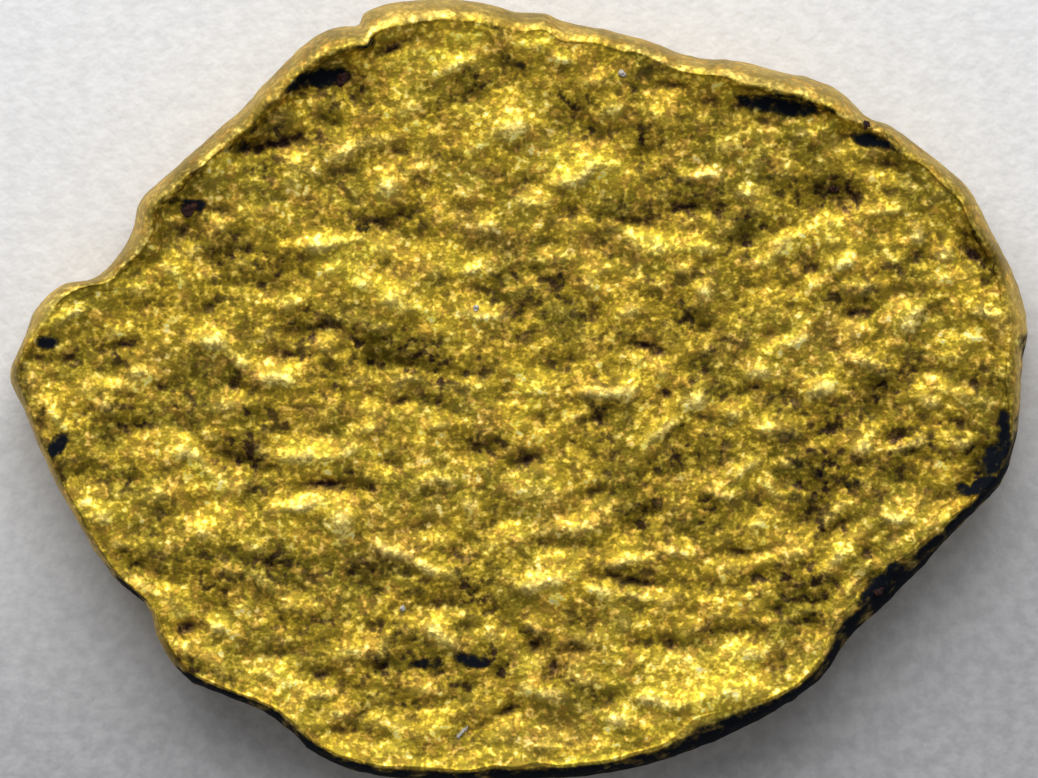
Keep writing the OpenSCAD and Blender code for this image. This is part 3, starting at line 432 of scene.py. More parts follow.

# The way that faces from the light; and, in millimetres, how deep metal is hollow, how much painted shade
# the sides turned from the light get, as a depth, and how high metal is rubbed
SHADE_SIDE = np.array((0.28, -0.96))
HOLLOW_DEPTH, SHADE_DEPTH, RUBBED_HEIGHT = 0.058, 0.022, 0.045

# Unevenness of the edges of the pits' painted shadow, of the painted shade on the wall turned from the
# light and of the painted highlight along the crest: waves in millimetres
PIT_WAVE, PIT_RAGGED = 0.12, 0.30
WALL_SHADE_WAVE, CREST_HIGHLIGHT_WAVE = 0.30, 0.55

# The lodged grains, how far the gold is drawn up or down round each, and how their faces are chipped
QUARTZ_GRAINS = ("quartz_sliver", "quartz_middle", "quartz_low", "quartz_top")
IRONSTONE_GRAINS = ("ironstone_top", "ironstone_edge", "ironstone_left", "ironstone_right", "ironstone_low")
GRAINS = QUARTZ_GRAINS + IRONSTONE_GRAINS
SEAT_REACH = 1.4
GRAIN_CUTS, GRAIN_ROUGHNESS = 4, 0.16
CHIP_WAVE, CHIP_LEVEL = 0.4, 0.6
FACET_ANGLE = math.radians(24)
WELD_MM = 0.0001

# Seeds of the noises, and how far apart noises of one family are set
CREST_SEED, LUMP_SEED, ROUGH_SEED, PEBBLE_SEED = 5, 11, 23, 40
PIT_BEND_SEED, DENT_SEED, PIT_SEED = 57, 61, 71
WALL_SHADE_SEED, MOTTLE_SEED, CREST_HIGHLIGHT_SEED = 83, 91, 97
BEND_APART, PEBBLE_APART = 31.7, 17.3
NOISE_GAIN = 1.6

# Where marks on the metal fade, from one ring of the mesh to another
FACE_FADE = (CREST_RING, CREST_RING - 2)
OUTSIDE_FADE = (CREST_RING - 2, CREST_RING + 4)
TOPSIDE_FADE = (GIRTH_RING, CREST_RING + 4)
WALL_TOP_FADE = (CREST_RING - 1, CREST_RING + 1.5)
WALL_FOOT_FADE = (GIRTH_RING + 3, GIRTH_RING - 3)
# Rings of the painted highlight along the crest
CREST_HIGHLIGHT_RING, CREST_HIGHLIGHT_RINGS = CREST_RING + 1, 2.5
SEAT_RING = GIRTH_RING - 2

# Where they fade as the metal turns from the light, with a noise, or out from the middle of a pit
LIT_FADE, UNLIT_FADE, SHADE_FADE = (-0.2, 0.3), (0.14, 0.60), (0.10, 0.45)
DENT_FADE, CREST_HIGHLIGHT_FADE = (-0.2, 0.8), (-0.6, 0.5)
PIT_FADE = (1.5, 0.6)

# How uneven the painted shade on the wall turned from the light is, how strong the painted highlight along
# the crest is on its dark and lit sides, and how rough the underside is
WALL_SHADE_UNEVEN = 0.6
CREST_HIGHLIGHT_SHARE = (0.1, 0.8)
WORN_ROUGH = 0.6

# Where hollows start, and how often the relief is smoothed to tell high places from low
HOLLOW_START = 0.2
SMOOTHING_TIMES = (12, 60)


def smooth_noise(points, seed):
    """Gradient noise at each row of points, between about -1 and 1, with one lump to the unit."""
    rng = np.random.default_rng(seed)
    order = rng.permutation(256)
    slopes = rng.normal(size=(256, 3))
    slopes /= np.linalg.norm(slopes, axis=1)[:, None]
    cell = np.floor(points).astype(int)
    part = points - cell
    fade = part ** 3 * (part * (part * 6 - 15) + 10)
    result = np.zeros(len(points))
    for corner in itertools.product((0, 1), repeat=3):
        spot = (cell + corner) & 255
        pick = order[(order[(order[spot[:, 0]] + spot[:, 1]) & 255] + spot[:, 2]) & 255]
        weight = np.prod(np.where(np.array(corner) == 1, fade, 1 - fade), axis=1)
        result += weight * np.einsum("ij,ij->i", slopes[pick], part - np.array(corner))
    return NOISE_GAIN * result


def along_grain(points):
    """Points squeezed along the grain of the metal, so that noise made from them is longer that way."""
    c, s = math.cos(GRAIN_TURN), math.sin(GRAIN_TURN)
    along = (points[:, 0] * c + points[:, 1] * s) / GRAIN_STRETCH
    across = points[:, 1] * c - points[:, 0] * s
    return np.column_stack((along, across, points[:, 2]))


def between(low, high, share):
    """The value that lies a share of the way from low to high."""
    return low + (high - low) * share


def soft_step(low, high, value):
    """0 up to low and 1 from high, with a soft rise between, or the other way round if low is higher."""
    t = np.clip((value - low) / (high - low), 0, 1)
    return t * t * (3 - 2 * t)


def round_smooth(values, spread):
    """A closed row of values, smoothed by a bell of that many steps."""
    reach = np.arange(-4 * spread, 4 * spread + 1)
    bell = np.exp(-0.5 * (reach / spread) ** 2)
    padded = np.concatenate((values[-4 * spread:], values, values[:4 * spread]))
    return np.convolve(padded, bell / bell.sum(), "valid")


def ways_at(turn):
    """Unit steps out from the middle at each turn."""
    return np.column_stack((np.cos(turn), np.sin(turn)))


def cad_tree(node):
    """The node's solid as a tree for ray casts, in millimetres."""
    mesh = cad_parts[node].data
    points = [vertex.co / MM for vertex in mesh.vertices]
    faces = [tuple(polygon.vertices) for polygon in mesh.polygons]
    return BVHTree.FromPolygons(points, faces)


# Rays cast at the CAD's gold start well outside it
gold_solid = cad_tree("gold_body")
well_outside = 2 * gold_high[0]


def reach_at(way, level):
    """How far out the CAD's wall is, that way from the middle and at that level."""
    hit = gold_solid.ray_cast(Vector((*way * well_outside, level)), Vector((*-way, 0)))[0]
    return math.hypot(hit.x, hit.y)


def top_at(spot):
    """Height of the CAD's upper side at a spot."""
    hit = gold_solid.ray_cast(Vector((*spot, well_outside)), Vector((0, 0, -1)))[0]
    return hit.z if hit else gold_low[2]


def face_level():
    """Middle height of the CAD's face, lumps and hollows alike."""
    return float(np.median([top_at(spot) for spot in itertools.product(FACE_SAMPLES, repeat=2)]))


def read_rim():
    """The CAD rim at each point round the edge: reach, crest's inset, heights of crest, foot and girth."""
    ways = ways_at(2 * np.pi * np.arange(EDGE_POINTS) / EDGE_POINTS)
    girth = between(gold_low[2], gold_high[2], GIRTH_SHARE)
    levels = girth + GIRTH_LEVELS
    reach = np.array([max(reach_at(way, level) for level in levels) for way in ways])
    tops = np.array([[top_at(way * (r - inset)) for inset in CREST_STEPS] for way, r in zip(ways, reach)])
    first_fall = np.argmax(tops[:, :-1] > tops[:, 1:] + CREST_FALL, axis=1)
    crest_inset = round_smooth(CREST_STEPS[first_fall], RIM_SMOOTHING)
    crest = round_smooth(tops[np.arange(EDGE_POINTS), first_fall], RIM_SMOOTHING)
    foot_reach = reach - crest_inset - WALL_WIDTH - FOOT_BEYOND
    foot = np.array([top_at(way * r) for way, r in zip(ways, foot_reach)])
    drop = round_smooth(np.clip(crest - foot, LEAST_DROP, MOST_DROP), DROP_SMOOTHING)
    plain = soft_step(POCKET_DROP, PLAIN_DROP, drop)
    return {
        "ways": ways,
        "reach": reach,
        "crest_inset": crest_inset,
        "crest": crest - PLAIN_SINK * plain,
        "foot": crest - drop + PLAIN_FILL * plain,
        "girth": np.full(EDGE_POINTS, girth),
    }


def near_rim(rim, px, py, half):
    """Round the edge: 1 at the part of the rim nearest that pixel, fading over the half-length."""
    spots = rim["ways"] * (rim["reach"] - rim["crest_inset"])[:, None]
    apart = np.linalg.norm(spots - photo_place(px, py), axis=1)
    return np.exp(-((apart - apart.min()) / (half * PIXEL)) ** 2)


def pocket_roll(rim):
    """How far the lip is rolled over at each point round the edge."""
    return np.max([depth * near_rim(rim, px, py, half) for px, py, half, depth in LIP_POCKETS], axis=0)


def shaped_rim():
    """The rim with an uneven crest, thinner on one side and gentle where it has no pocket; and its roll."""
    rim = read_rim()
    roll = pocket_roll(rim)
    pocket = np.clip(roll / FULL_POCKET, 0, 1)
    edge_places = np.column_stack((rim["ways"] * rim["reach"][:, None], rim["crest"]))
    uneven = CREST_UNEVEN * smooth_noise(edge_places / CREST_WAVE, CREST_SEED)
    thin = soft_step(*THIN_FADE, rim["ways"] @ THIN_SIDE)
    crest_inset = rim["crest_inset"] - POCKET_CREST_SHIFT * pocket + uneven
    rim["crest_inset"] = crest_inset * between(1, THIN_SHARE, thin)
    gentle = soft_step(*LIT_FADE, rim["ways"] @ -SHADE_SIDE) * (1 - pocket)
    rim["foot"] = np.maximum(rim["foot"], between(rim["foot"], rim["crest"] - GENTLE_DROP, gentle))
    return rim, roll


def section_knots(rim, roll):
    """Inset and height of the section's knots, from inside the foot to the flat, round the edge."""
    crest_inset, crest, foot, girth = rim["crest_inset"], rim["crest"], rim["foot"], rim["girth"]
    still = np.zeros(EDGE_POINTS)
    undercut_inset = crest_inset + UNDERCUT_WIDTH * WALL_WIDTH - UNDERCUT_ROLL * roll
    outer = [(inset * crest_inset, between(girth, crest, rise)) for inset, rise in OUTER_KNOTS]
    return np.array([
        (crest_inset + SLOPE_WIDTH * WALL_WIDTH, foot - SLOPE_DIP),
        (crest_inset + WALL_WIDTH, foot),
        (undercut_inset, between(foot, crest, UNDERCUT_RISE)),
        (crest_inset + LIP_WIDTH + LIP_ROLL * roll, between(foot, crest, LIP_RISE)),
        (crest_inset, crest),
        *outer,
        (still, girth),
        (still + TUCK_INSET, TUCK_RISE * girth),
        (still + UNDER_INSET, UNDER_RISE * girth),
        (still + FLAT_INSET, still),
        (still + FLAT_END * FLAT_INSET, still),
    ])


def curve_between(a, b, c, d, share):
    """A place on the smooth curve through four knots, a share of the way from second to third."""
    bend = 2 * a - 5 * b + 4 * c - d + share * (3 * (b - c) + d - a)
    return b + 0.5 * share * (c - a + share * bend)


def rim_rings(rim, roll):
    """The rings of points from the foot of the rim's inner wall, over the crest, to the flat underneath."""
    knots = section_knots(rim, roll)
    rings = []
    for i, steps in enumerate(SECTION_STEPS):
        for step in range(1, steps + 1):
            inset, height = curve_between(*knots[i:i + 4], step / steps)
            rings.append(np.column_stack((rim["ways"] * (rim["reach"] - inset)[:, None], height)))
    return rings


def ring_places(count):
    """Share and turn of each point of a disc of rings, with eight more points on each ring."""
    share = np.concatenate([np.full(8 * k, k / count) for k in range(1, count + 1)])
    turn = np.concatenate([2 * np.pi * np.arange(8 * k) / (8 * k) for k in range(1, count + 1)])
    return np.append(0, share), np.append(0, turn)


def disc_faces(count):
    """Triangles of such a disc, its middle being point 0, facing up."""
    start = [0] + [1 + 4 * k * (k - 1) for k in range(1, count + 1)]
    faces = []
    for k in range(1, count + 1):
        octant, step = np.repeat(np.arange(8), k), np.tile(np.arange(k), 8)
        outer = start[k] + octant * k + step
        outer_next = start[k] + (octant * k + step + 1) % (8 * k)
        inner_count = max(8 * (k - 1), 1)
        inner = start[k - 1] + (octant * (k - 1) + step) % inner_count
        faces.append(np.column_stack((outer, outer_next, inner)))
        keep = step < k - 1
        inner_next = start[k - 1] + (octant * (k - 1) + step + 1) % inner_count
        faces.append(np.column_stack((inner, outer_next, inner_next))[keep])
    return np.concatenate(faces)


def around(values, turn):
    """Values given round the edge, read at any turn."""
    turns = 2 * np.pi * np.arange(EDGE_POINTS + 1) / EDGE_POINTS
    return np.interp(turn, turns, np.append(values, values[0]))


def dished_face(rim):
    """Points of the dished face, from its middle out to the foot of the rim."""
    share, turn = ring_places(FACE_RINGS)
    foot_reach = rim["reach"] - rim["crest_inset"] - WALL_WIDTH
    plain_foot = round_smooth(rim["foot"], FOOT_SMOOTHING)
    height = between(face_level(), around(plain_foot, turn), share ** DISH_POWER)
    height = height + around(rim["foot"] - plain_foot, turn) * share ** POCKET_POWER
    return np.column_stack((ways_at(turn) * (share * around(foot_reach, turn))[:, None], height))


def flat_underside(rim):
    """Points of the worn flat that the nugget rests on."""
    share, turn = ring_places(UNDER_RINGS)
    reach = share * (around(rim["reach"], turn) - FLAT_START * FLAT_INSET)
    return np.column_stack((ways_at(turn) * reach[:, None], np.zeros(len(reach))))


def wall_quads(first, count):
    """Four-sided faces between the rings, from the face's edge, which starts at point first."""
    edge = np.arange(EDGE_POINTS)
    edge_next = (edge + 1) % EDGE_POINTS
    quads = []
    for ring in range(count):
        here = first + ring * EDGE_POINTS
        there = here + EDGE_POINTS
        quads.append(np.column_stack((here + edge, there + edge, there + edge_next, here + edge_next)))
    return np.concatenate(quads)


def seam_triangles(last, under_edge):
    """Triangles that join the last ring to the edge of the flat, which has half as many points."""
    half = np.arange(EDGE_POINTS // 2)
    under = under_edge + half
    under_next = under_edge + (half + 1) % (EDGE_POINTS // 2)
    first, middle, third = (last + (2 * half + step) % EDGE_POINTS for step in range(3))
    return np.concatenate((
        np.column_stack((first, under, middle)),
        np.column_stack((middle, under, under_next)),
        np.column_stack((middle, under_next, third)),
    ))


def nugget_skin():
    """The nugget without its relief: points, the ring that each lies on, triangles and quads."""
    rim, roll = shaped_rim()
    face, rings, under = dished_face(rim), rim_rings(rim, roll), flat_underside(rim)
    points = np.concatenate([face, *rings, under])
    on_rings = np.repeat(np.arange(len(rings)), EDGE_POINTS)
    ring_of = np.concatenate((np.full(len(face), -1), on_rings, np.full(len(under), len(rings))))
    first = len(face) - EDGE_POINTS
    last = first + len(rings) * EDGE_POINTS
    under_start = last + EDGE_POINTS
    under_edge = under_start + len(under) - EDGE_POINTS // 2
    under_faces = disc_faces(UNDER_RINGS)[:, ::-1] + under_start
    triangles = np.concatenate((disc_faces(FACE_RINGS), seam_triangles(last, under_edge), under_faces))
    return points, ring_of, triangles, wall_quads(first, len(rings))


def from_middle(spots, px, py, half_long, half_short, turn):
    """How far each spot is from an oval's middle, in shares of its half-length and half-width, squared."""
    away = (spots - photo_place(px, py)) / PIXEL
    c, s = math.cos(math.radians(turn)), math.sin(math.radians(turn))
    along = (away[:, 0] * c + away[:, 1] * s) / half_long
    across = (away[:, 1] * c - away[:, 0] * s) / half_short
    return along ** 2 + across ** 2


def sum_of_ovals(spots, ovals):
    """Sum of the ovals' heights at each spot, each fading as a bell from its middle."""
    total = np.zeros(len(spots))
    for *oval, height in ovals:
        total += height * np.exp(-from_middle(spots, *oval))
    return total


def bent(points, seed):
    """Points moved about by a slow noise, so that what is drawn with them has uneven edges."""
    waves = points / BEND_WAVE
    shift = np.column_stack([smooth_noise(waves + BEND_APART * i, seed + i) for i in range(3)])
    return points + BEND_REACH * shift


def rough_relief(points, seed):
    """Fine pebbly relief of the metal: rounded tops with creases between."""
    height = np.zeros(len(points))
    squeezed = along_grain(points)
    for i, (wave, rise) in enumerate(PEBBLE_WAVES):
        noise = smooth_noise(squeezed / wave + PEBBLE_APART * i, seed + i)
        height += rise * between(noise, 2 * np.abs(noise) - 0.5, CREASE_SHARE)
    return height


def spread_out(values, triangles, times):
    """Values at the points averaged with their neighbours' so many times over."""
    ends = np.concatenate((triangles[:, [0, 1]], triangles[:, [1, 2]], triangles[:, [2, 0]]))
    near = np.concatenate((ends, ends[:, ::-1]))
    count = np.bincount(near[:, 0], minlength=len(values))
    for _ in range(times):
        values = 0.5 * values + 0.5 * np.bincount(near[:, 0], values[near[:, 1]], len(values)) / count
    return values


def vertex_normals(points, triangles):
    """Which way the surface faces at each point."""
    normals = np.zeros_like(points)
    a, b, c = (points[triangles[:, i]] for i in range(3))
    flat = np.cross(b - a, c - a)
    for i in range(3):
        np.add.at(normals, triangles[:, i], flat)
    return normals / np.maximum(np.linalg.norm(normals, axis=1), 1e-12)[:, None]


def seat_grains(points, upper):
    """Raises or lowers the upper points round each lodged grain so that it lies half sunk."""
    for node in GRAINS:
        low, high = node_box(node)
        middle = (low + high) / 2
        apart = np.linalg.norm(points - middle, axis=1)
        nearest = np.where(upper, apart, np.inf).argmin()
        reach = SEAT_REACH * np.linalg.norm((high - low)[:2]) / 2
        beside = np.linalg.norm(points - points[nearest], axis=1)
        points[:, 2] += upper * (middle[2] - points[nearest, 2]) * np.exp(-(beside / reach) ** 2)


def on_face(ring_of):
    """1 on the face, fading to 0 at the crest."""
    return np.clip(1 - ring_of / CREST_RING, 0, 1)


def add_relief(points, ring_of, every):
    """Raises lumps, pebbles and dents out of the skin; gives the lumps' height and the whole rise."""
    below = soft_step(GIRTH_RING, ring_of.max(), ring_of)
    normals = vertex_normals(points, every)
    lumps = on_face(ring_of) * sum_of_ovals(bent(points, LUMP_SEED)[:, :2], FACE_LUMPS)
    rough = rough_relief(bent(points, ROUGH_SEED), PEBBLE_SEED)
    dents = DENT_DEPTH * soft_step(*DENT_FADE, smooth_noise(points / DENT_WAVE, DENT_SEED))
    rise = LUMP_SHARE * lumps + rough * between(1, WORN_ROUGH, below) - below * dents
    face, beyond = ring_of < 0, ring_of >= 0
    points[face, 2] += rise[face]
    points[beyond] += normals[beyond] * rise[beyond][:, None]
    seat_grains(points, ring_of < SEAT_RING)
    points[:] = np.clip(points, gold_low, gold_high)
    return lumps, rise


def lit_side(points):
    """1 on the side of the nugget that the light comes from, 0 on the other."""
    away = np.maximum(np.linalg.norm(points[:, :2], axis=1), 1e-6)
    return soft_step(*LIT_FADE, points[:, :2] @ -SHADE_SIDE / away)


def pit_shadow_mask(points):
    """How black each point is with the painted shadow in the pits, with ragged edges."""
    ragged = PIT_RAGGED * smooth_noise(points / PIT_WAVE, PIT_SEED)
    mask = np.zeros(len(points))
    for *oval, black in SHADOW_PITS:
        away = np.sqrt(from_middle(points[:, :2], *oval)) + ragged
        mask = np.maximum(mask, black * soft_step(*PIT_FADE, away))
    return mask


def black_shadow_mask(points, ring_of, turned):
    """Patchy painted shade, near black, on the outer wall that is turned from the light, and black painted
    shadow in the pits.
    """
    uneven = np.clip(1 + WALL_SHADE_UNEVEN * smooth_noise(points / WALL_SHADE_WAVE, WALL_SHADE_SEED), 0, 1)
    on_wall = soft_step(*WALL_TOP_FADE, ring_of) * soft_step(*WALL_FOOT_FADE, ring_of)
    wall_shade = soft_step(*UNLIT_FADE, turned) * uneven * on_wall
    far_rim = (1 - lit_side(points)) * (ring_of < GIRTH_RING)
    inside = np.maximum(soft_step(*FACE_FADE, ring_of), far_rim)
    return np.maximum(wall_shade, inside * pit_shadow_mask(bent(points, PIT_BEND_SEED)))


def rubbed_and_highlight_mask(points, ring_of, turned, over):
    """Bright rubbed metal on the high places, and a painted highlight here and there along the crest,
    strongest on the lit side and none where the crest turns from the light.
    """
    crest = np.exp(-((ring_of - CREST_HIGHLIGHT_RING) / CREST_HIGHLIGHT_RINGS) ** 2) * (1 - soft_step(*UNLIT_FADE, turned))
    uneven = soft_step(*CREST_HIGHLIGHT_FADE, smooth_noise(points / CREST_HIGHLIGHT_WAVE, CREST_HIGHLIGHT_SEED))
    crest_highlight = crest * between(*CREST_HIGHLIGHT_SHARE, lit_side(points)) * uneven
    return np.maximum(soft_step(0, RUBBED_HEIGHT, over), crest_highlight)


def hollow_and_shade_mask(ring_of, turned, over):
    """Low places, and painted shade on the sides of lumps that are turned from the light."""
    shade = SHADE_DEPTH * soft_step(*SHADE_FADE, turned) * on_face(ring_of)
    return soft_step(HOLLOW_START * HOLLOW_DEPTH, HOLLOW_DEPTH, shade - over)


def tone_mask(points, ring_of, lumps):
    """How much paler or darker the metal is, for its patches, its lumps and a fine mottling; the lumps and
    some patches carry painted light and shade.
    """
    tone = sum_of_ovals(points[:, :2], TONES) + LUMP_TONE * lumps
    mottle = MOTTLE_TONE * smooth_noise(points / MOTTLE_WAVE, MOTTLE_SEED)
    return TONE_BASE ** (soft_step(*TOPSIDE_FADE, ring_of) * tone + mottle)


def mesh_piece(name, points, faces):
    """A smooth-shaded mesh of points in millimetres."""
    mesh = bpy.data.meshes.new(name)
    mesh.from_pydata((points * MM).tolist(), [], faces)
    mesh.shade_smooth()
    piece = bpy.data.objects.new(name, mesh)
    bpy.context.scene.collection.objects.link(piece)
    return piece


def point_mask(piece, name, values):
    """Keeps a value at each point of the piece, for its material to read."""
    attribute = piece.data.attributes.new(name, "FLOAT", "POINT")
    attribute.data.foreach_set("value", values.astype(np.float32))


def make_gold():
    """The nugget's metal: dished face, rolled rim, worn underside, and the marks on them, painted light and
    shade among them.
    """
    points, ring_of, triangles, quads = nugget_skin()
    every = np.concatenate((triangles, quads[:, :3], quads[:, [0, 2, 3]]))
    lumps, rise = add_relief(points, ring_of, every)
    piece = mesh_piece("gold_nugget", points, triangles.tolist() + quads.tolist())
    over = rise - sum(spread_out(rise, every, times) for times in SMOOTHING_TIMES) / len(SMOOTHING_TIMES)
    turned = vertex_normals(points, every)[:, :2] @ SHADE_SIDE
    point_mask(piece, "hollow_and_shade", hollow_and_shade_mask(ring_of, turned, over))
    point_mask(piece, "black", black_shadow_mask(points, ring_of, turned))
    point_mask(piece, "outside", soft_step(*OUTSIDE_FADE, ring_of))
    point_mask(piece, "rubbed_and_highlight", rubbed_and_highlight_mask(points, ring_of, turned, over))
    point_mask(piece, "tone", tone_mask(points, ring_of, lumps))
    return piece


def make_grain(node, material):
    """A lodged grain: the solid's angular form with chipped, uneven faces."""
    form = bmesh.new()
    form.from_mesh(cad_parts[node].data)
    bmesh.ops.remove_doubles(form, verts=form.verts, dist=WELD_MM * MM)
    bmesh.ops.subdivide_edges(form, edges=form.edges, cuts=GRAIN_CUTS, use_grid_fill=True)
    points = np.array([vertex.co for vertex in form.verts]) / MM
    low, high = node_box(node)
    size = (high - low).mean()
    form.normal_update()
    normals = np.array([vertex.normal for vertex in form.verts])
    chipped = smooth_noise(points / (CHIP_WAVE * size), GRAINS.index(node)) - CHIP_LEVEL
    points += normals * (GRAIN_ROUGHNESS * size * np.minimum(chipped, 0))[:, None]
    faces = [[vertex.index for vertex in face.verts] for face in form.faces]
    form.free()
    piece = mesh_piece(node + "_rock", points, faces)
    piece.data.set_sharp_from_angle(angle=FACET_ANGLE)
    piece.data.materials.append(material)
    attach(piece, "root")
    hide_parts(node)
    return piece


# Stage, light and world, in metres
FLOOR_HALF = 0.4
KEY_PLACE = (-0.005, 0.049, 0.048)
KEY_SIZE = (0.075, 0.060)
KEY_POWER = 0.0515
FILL_LIGHT, FILL_DARK = 0.37, 0.26
FILL_OVERHEAD, FILL_RANGE = 0.35, (-0.4, 1.0)
BACKDROP_STRENGTH = 0.8

# Colours, as linear values
# Rubbed metal on the high places, and the painted highlight along the crest
GOLD_BRIGHT = (0.80, 0.61, 0.165, 1)
GOLD_RUBBED = (0.78, 0.60, 0.155, 1)
# Pale painted highlight on the brightest grains
GOLD_GLINT = (0.93, 0.86, 0.52, 1)
GOLD_PALEST = (0.97, 0.87, 0.50, 1)
GOLD_WARM = (0.64, 0.37, 0.06, 1)
GOLD_DEEP = (0.65, 0.46, 0.042, 1)
GOLD_OLIVE = (0.42, 0.32, 0.034, 1)
# Stain in patches, and painted shade on the sides of lumps turned from the light
GOLD_STAIN_AND_SHADE = (0.28, 0.15, 0.045, 1)
GOLD_OUTSIDE = (0.53, 0.38, 0.095, 1)
# Brown of dirt in low places and dips, and of painted shade on the sides of lumps turned from the light
DIRT_AND_SHADE_BROWN = (0.055, 0.026, 0.024, 1)
# Black of the painted shadow in the pits and of the painted shade on the wall turned from the light
SHADOW_BLACK = (0.004, 0.006, 0.010, 1)
QUARTZ_PALE, QUARTZ_GREY = (0.56, 0.52, 0.45, 1), (0.36, 0.35, 0.33, 1)
IRONSTONE_PURPLE, IRONSTONE_RED = (0.036, 0.017, 0.018, 1), (0.060, 0.022, 0.015, 1)
PAPER_PALE, PAPER_GREY = (0.87, 0.87, 0.88, 1), (0.78, 0.78, 0.79, 1)
# Paper in painted shade, towards the bottom of the sheet
PAPER_SHADED_PALE, PAPER_SHADED_GREY = (0.51, 0.51, 0.525, 1), (0.41, 0.41, 0.425, 1)
WHITE = (1, 1, 1, 1)

# Sizes of the gold's texture, as lumps to the millimetre, and depths in millimetres; the grains and the
# fine specks carry painted glints
GOLD_GRAINS, GOLD_FLECKS, GOLD_SWELLS = 7.5, 13.0, 7.0
STIR_SCALE, STIR_REACH = 9.0, 0.12
SWELL_HEIGHT = 0.025

# Forms that several materials share: rise of a grain from its edge, and raggedness of a patch
GRAIN_DOME = (0.05, 0.75, 1.0, 0.0)
PATCH_ROUGHNESS = 0.6

# Patches: lumps to the millimetre, and where a patch starts and is full
OLIVE_PATCHES = (1.3, 0.40, 0.62)
STAIN_PATCHES = (0.8, 0.54, 0.70)
PAPER_MOTTLE = (4.5, 0.30, 0.70)
QUARTZ_VEINS = (14.0, 0.35, 0.65)
RUST_PATCHES = (10.0, 0.40, 0.65)

# What a mark does to the gold: low and high of the mark, then the effect at each, where it is fixed
WARM_GRAINS = (0.5, 1.0, 0.0, 0.6)
# Stain in low places, and painted shade on the sides of lumps turned from the light
STAIN_AND_SHADE_IN_HOLLOWS = (0.05, 0.6, 0.0, 0.5)
DIRT_BY_TONE = (0.5, 1.3, 0.95, 0.2)
DIRT_IN_DIPS = (0.52, 0.34)
# Brown of dirt and of painted shade, and black painted shadow in the pits and on the wall turned from the
# light
DARK_HOLLOWS_AND_SHADE, BLACK_SHADOW_RANGE = (0.10, 1.0), (0.15, 0.95)
# Painted glints: bright specks, and pale highlights on the grains, fewer on tarnished, dirty and outer
# metal
GLINT_FLECKS = (0.48, 0.74, 0.0, 0.9)
GLINT_BY_TONE = (0.7, 1.3, 0.10, 0.70)
GLINT_BY_SPARKLE = (0.6, 1.7)
GLINT_COVERED = (0.05, 0.5)
CLEAN_OUTSIDE, PLAIN_OUTSIDE = (0.0, 0.6), (0.0, 1.7)
BARE_ROUGHNESS = (0.0, 1.0, 0.60, 0.54)
# The black painted shadow is dull and not metal
PIT_METAL, PIT_ROUGHNESS = (0.7, 1.0, 1.0, 0.0), (0.4, 1.0)

# Limits and shares of those effects
MOST_TONE, MOST_STAIN = 1.5, 0.4
HOLLOW_RAGGED, PIT_EDGE_RAGGED = 0.8, 0.5
SPECKLE_LEAST, GRAIN_SPARKLE, OUTSIDE_SPECKLE = 0.57, 1.3, 0.95
DULL_SHEEN = 0.1

# Texture of the grains and the paper: lumps to the millimetre, heights in millimetres, and ranges as above
QUARTZ_FACETS, FACET_HEIGHT = 16.0, 0.006
QUARTZ_ROUGHNESS = (0.0, 1.0, 0.25, 0.5)
CRUST_GRAINS, CRUST_HEIGHT = 18.0, 0.012
CRUST_TONE, CRUST_ROUGHNESS = (0.0, 0.8, 0.7, 1.4), (0.0, 1.0, 0.75, 0.95)
PAPER_FIBRES, FIBRE_HEIGHT = 9.0, 0.012
# Painted shade on the paper: greyer towards the bottom and a little to the right
PAPER_SHADE_LEAN, PAPER_SHADE_SPAN = 0.10, (-1.8, 5.0)
PAPER_ROUGHNESS = 0.9


def plug(tree, socket, value):
    """Links another node's output to the socket, or sets a fixed value there."""
    if isinstance(value, bpy.types.NodeSocket):
        tree.links.new(value, socket)
    else:
        socket.default_value = value


def sum_node(tree, operation, first, second):
    """A sum, product or the like of two values."""
    node = tree.nodes.new("ShaderNodeMath")
    node.operation = operation
    plug(tree, node.inputs[0], first)
    plug(tree, node.inputs[1], second)
    return node.outputs[0]


def range_node(tree, value, low, high, to_low=0.0, to_high=1.0):
    """A value's softened step from low to high, as a way from one effect to another."""
    node = tree.nodes.new("ShaderNodeMapRange")
    node.interpolation_type = "SMOOTHSTEP"
    plug(tree, node.inputs["Value"], value)
    plug(tree, node.inputs["From Min"], low)
    plug(tree, node.inputs["From Max"], high)
    plug(tree, node.inputs["To Min"], to_low)
    plug(tree, node.inputs["To Max"], to_high)
    return node.outputs["Result"]


def mix_colour(tree, share, first, second):
    """The first colour, turned into the second by a share."""
    node = tree.nodes.new("ShaderNodeMix")
    node.data_type = "RGBA"
    plug(tree, node.inputs[0], share)
    plug(tree, node.inputs[6], first)
    plug(tree, node.inputs[7], second)
    return node.outputs[2]


def toned(tree, colour, factor):
    """A colour made paler or darker by a factor."""
    node = tree.nodes.new("ShaderNodeVectorMath")
    node.operation = "SCALE"
    plug(tree, node.inputs[0], colour)
    plug(tree, node.inputs["Scale"], factor)
    return node.outputs[0]


def no_paler(tree, colour, palest):
    """The colour, kept from growing paler than another."""
    node = tree.nodes.new("ShaderNodeVectorMath")
    node.operation = "MINIMUM"
    plug(tree, node.inputs[0], colour)
    node.inputs[1].default_value = palest[:3]
    return node.outputs[0]


def place_node(tree):
    """Where the shaded point is on its piece, in millimetres."""
    source = tree.nodes.new("ShaderNodeTexCoord")
    return toned(tree, source.outputs["Object"], 1 / MM)


def point_value(tree, name):
    """A value kept at the points of the piece."""
    node = tree.nodes.new("ShaderNodeAttribute")
    node.attribute_name = name
    return node.outputs["Fac"]


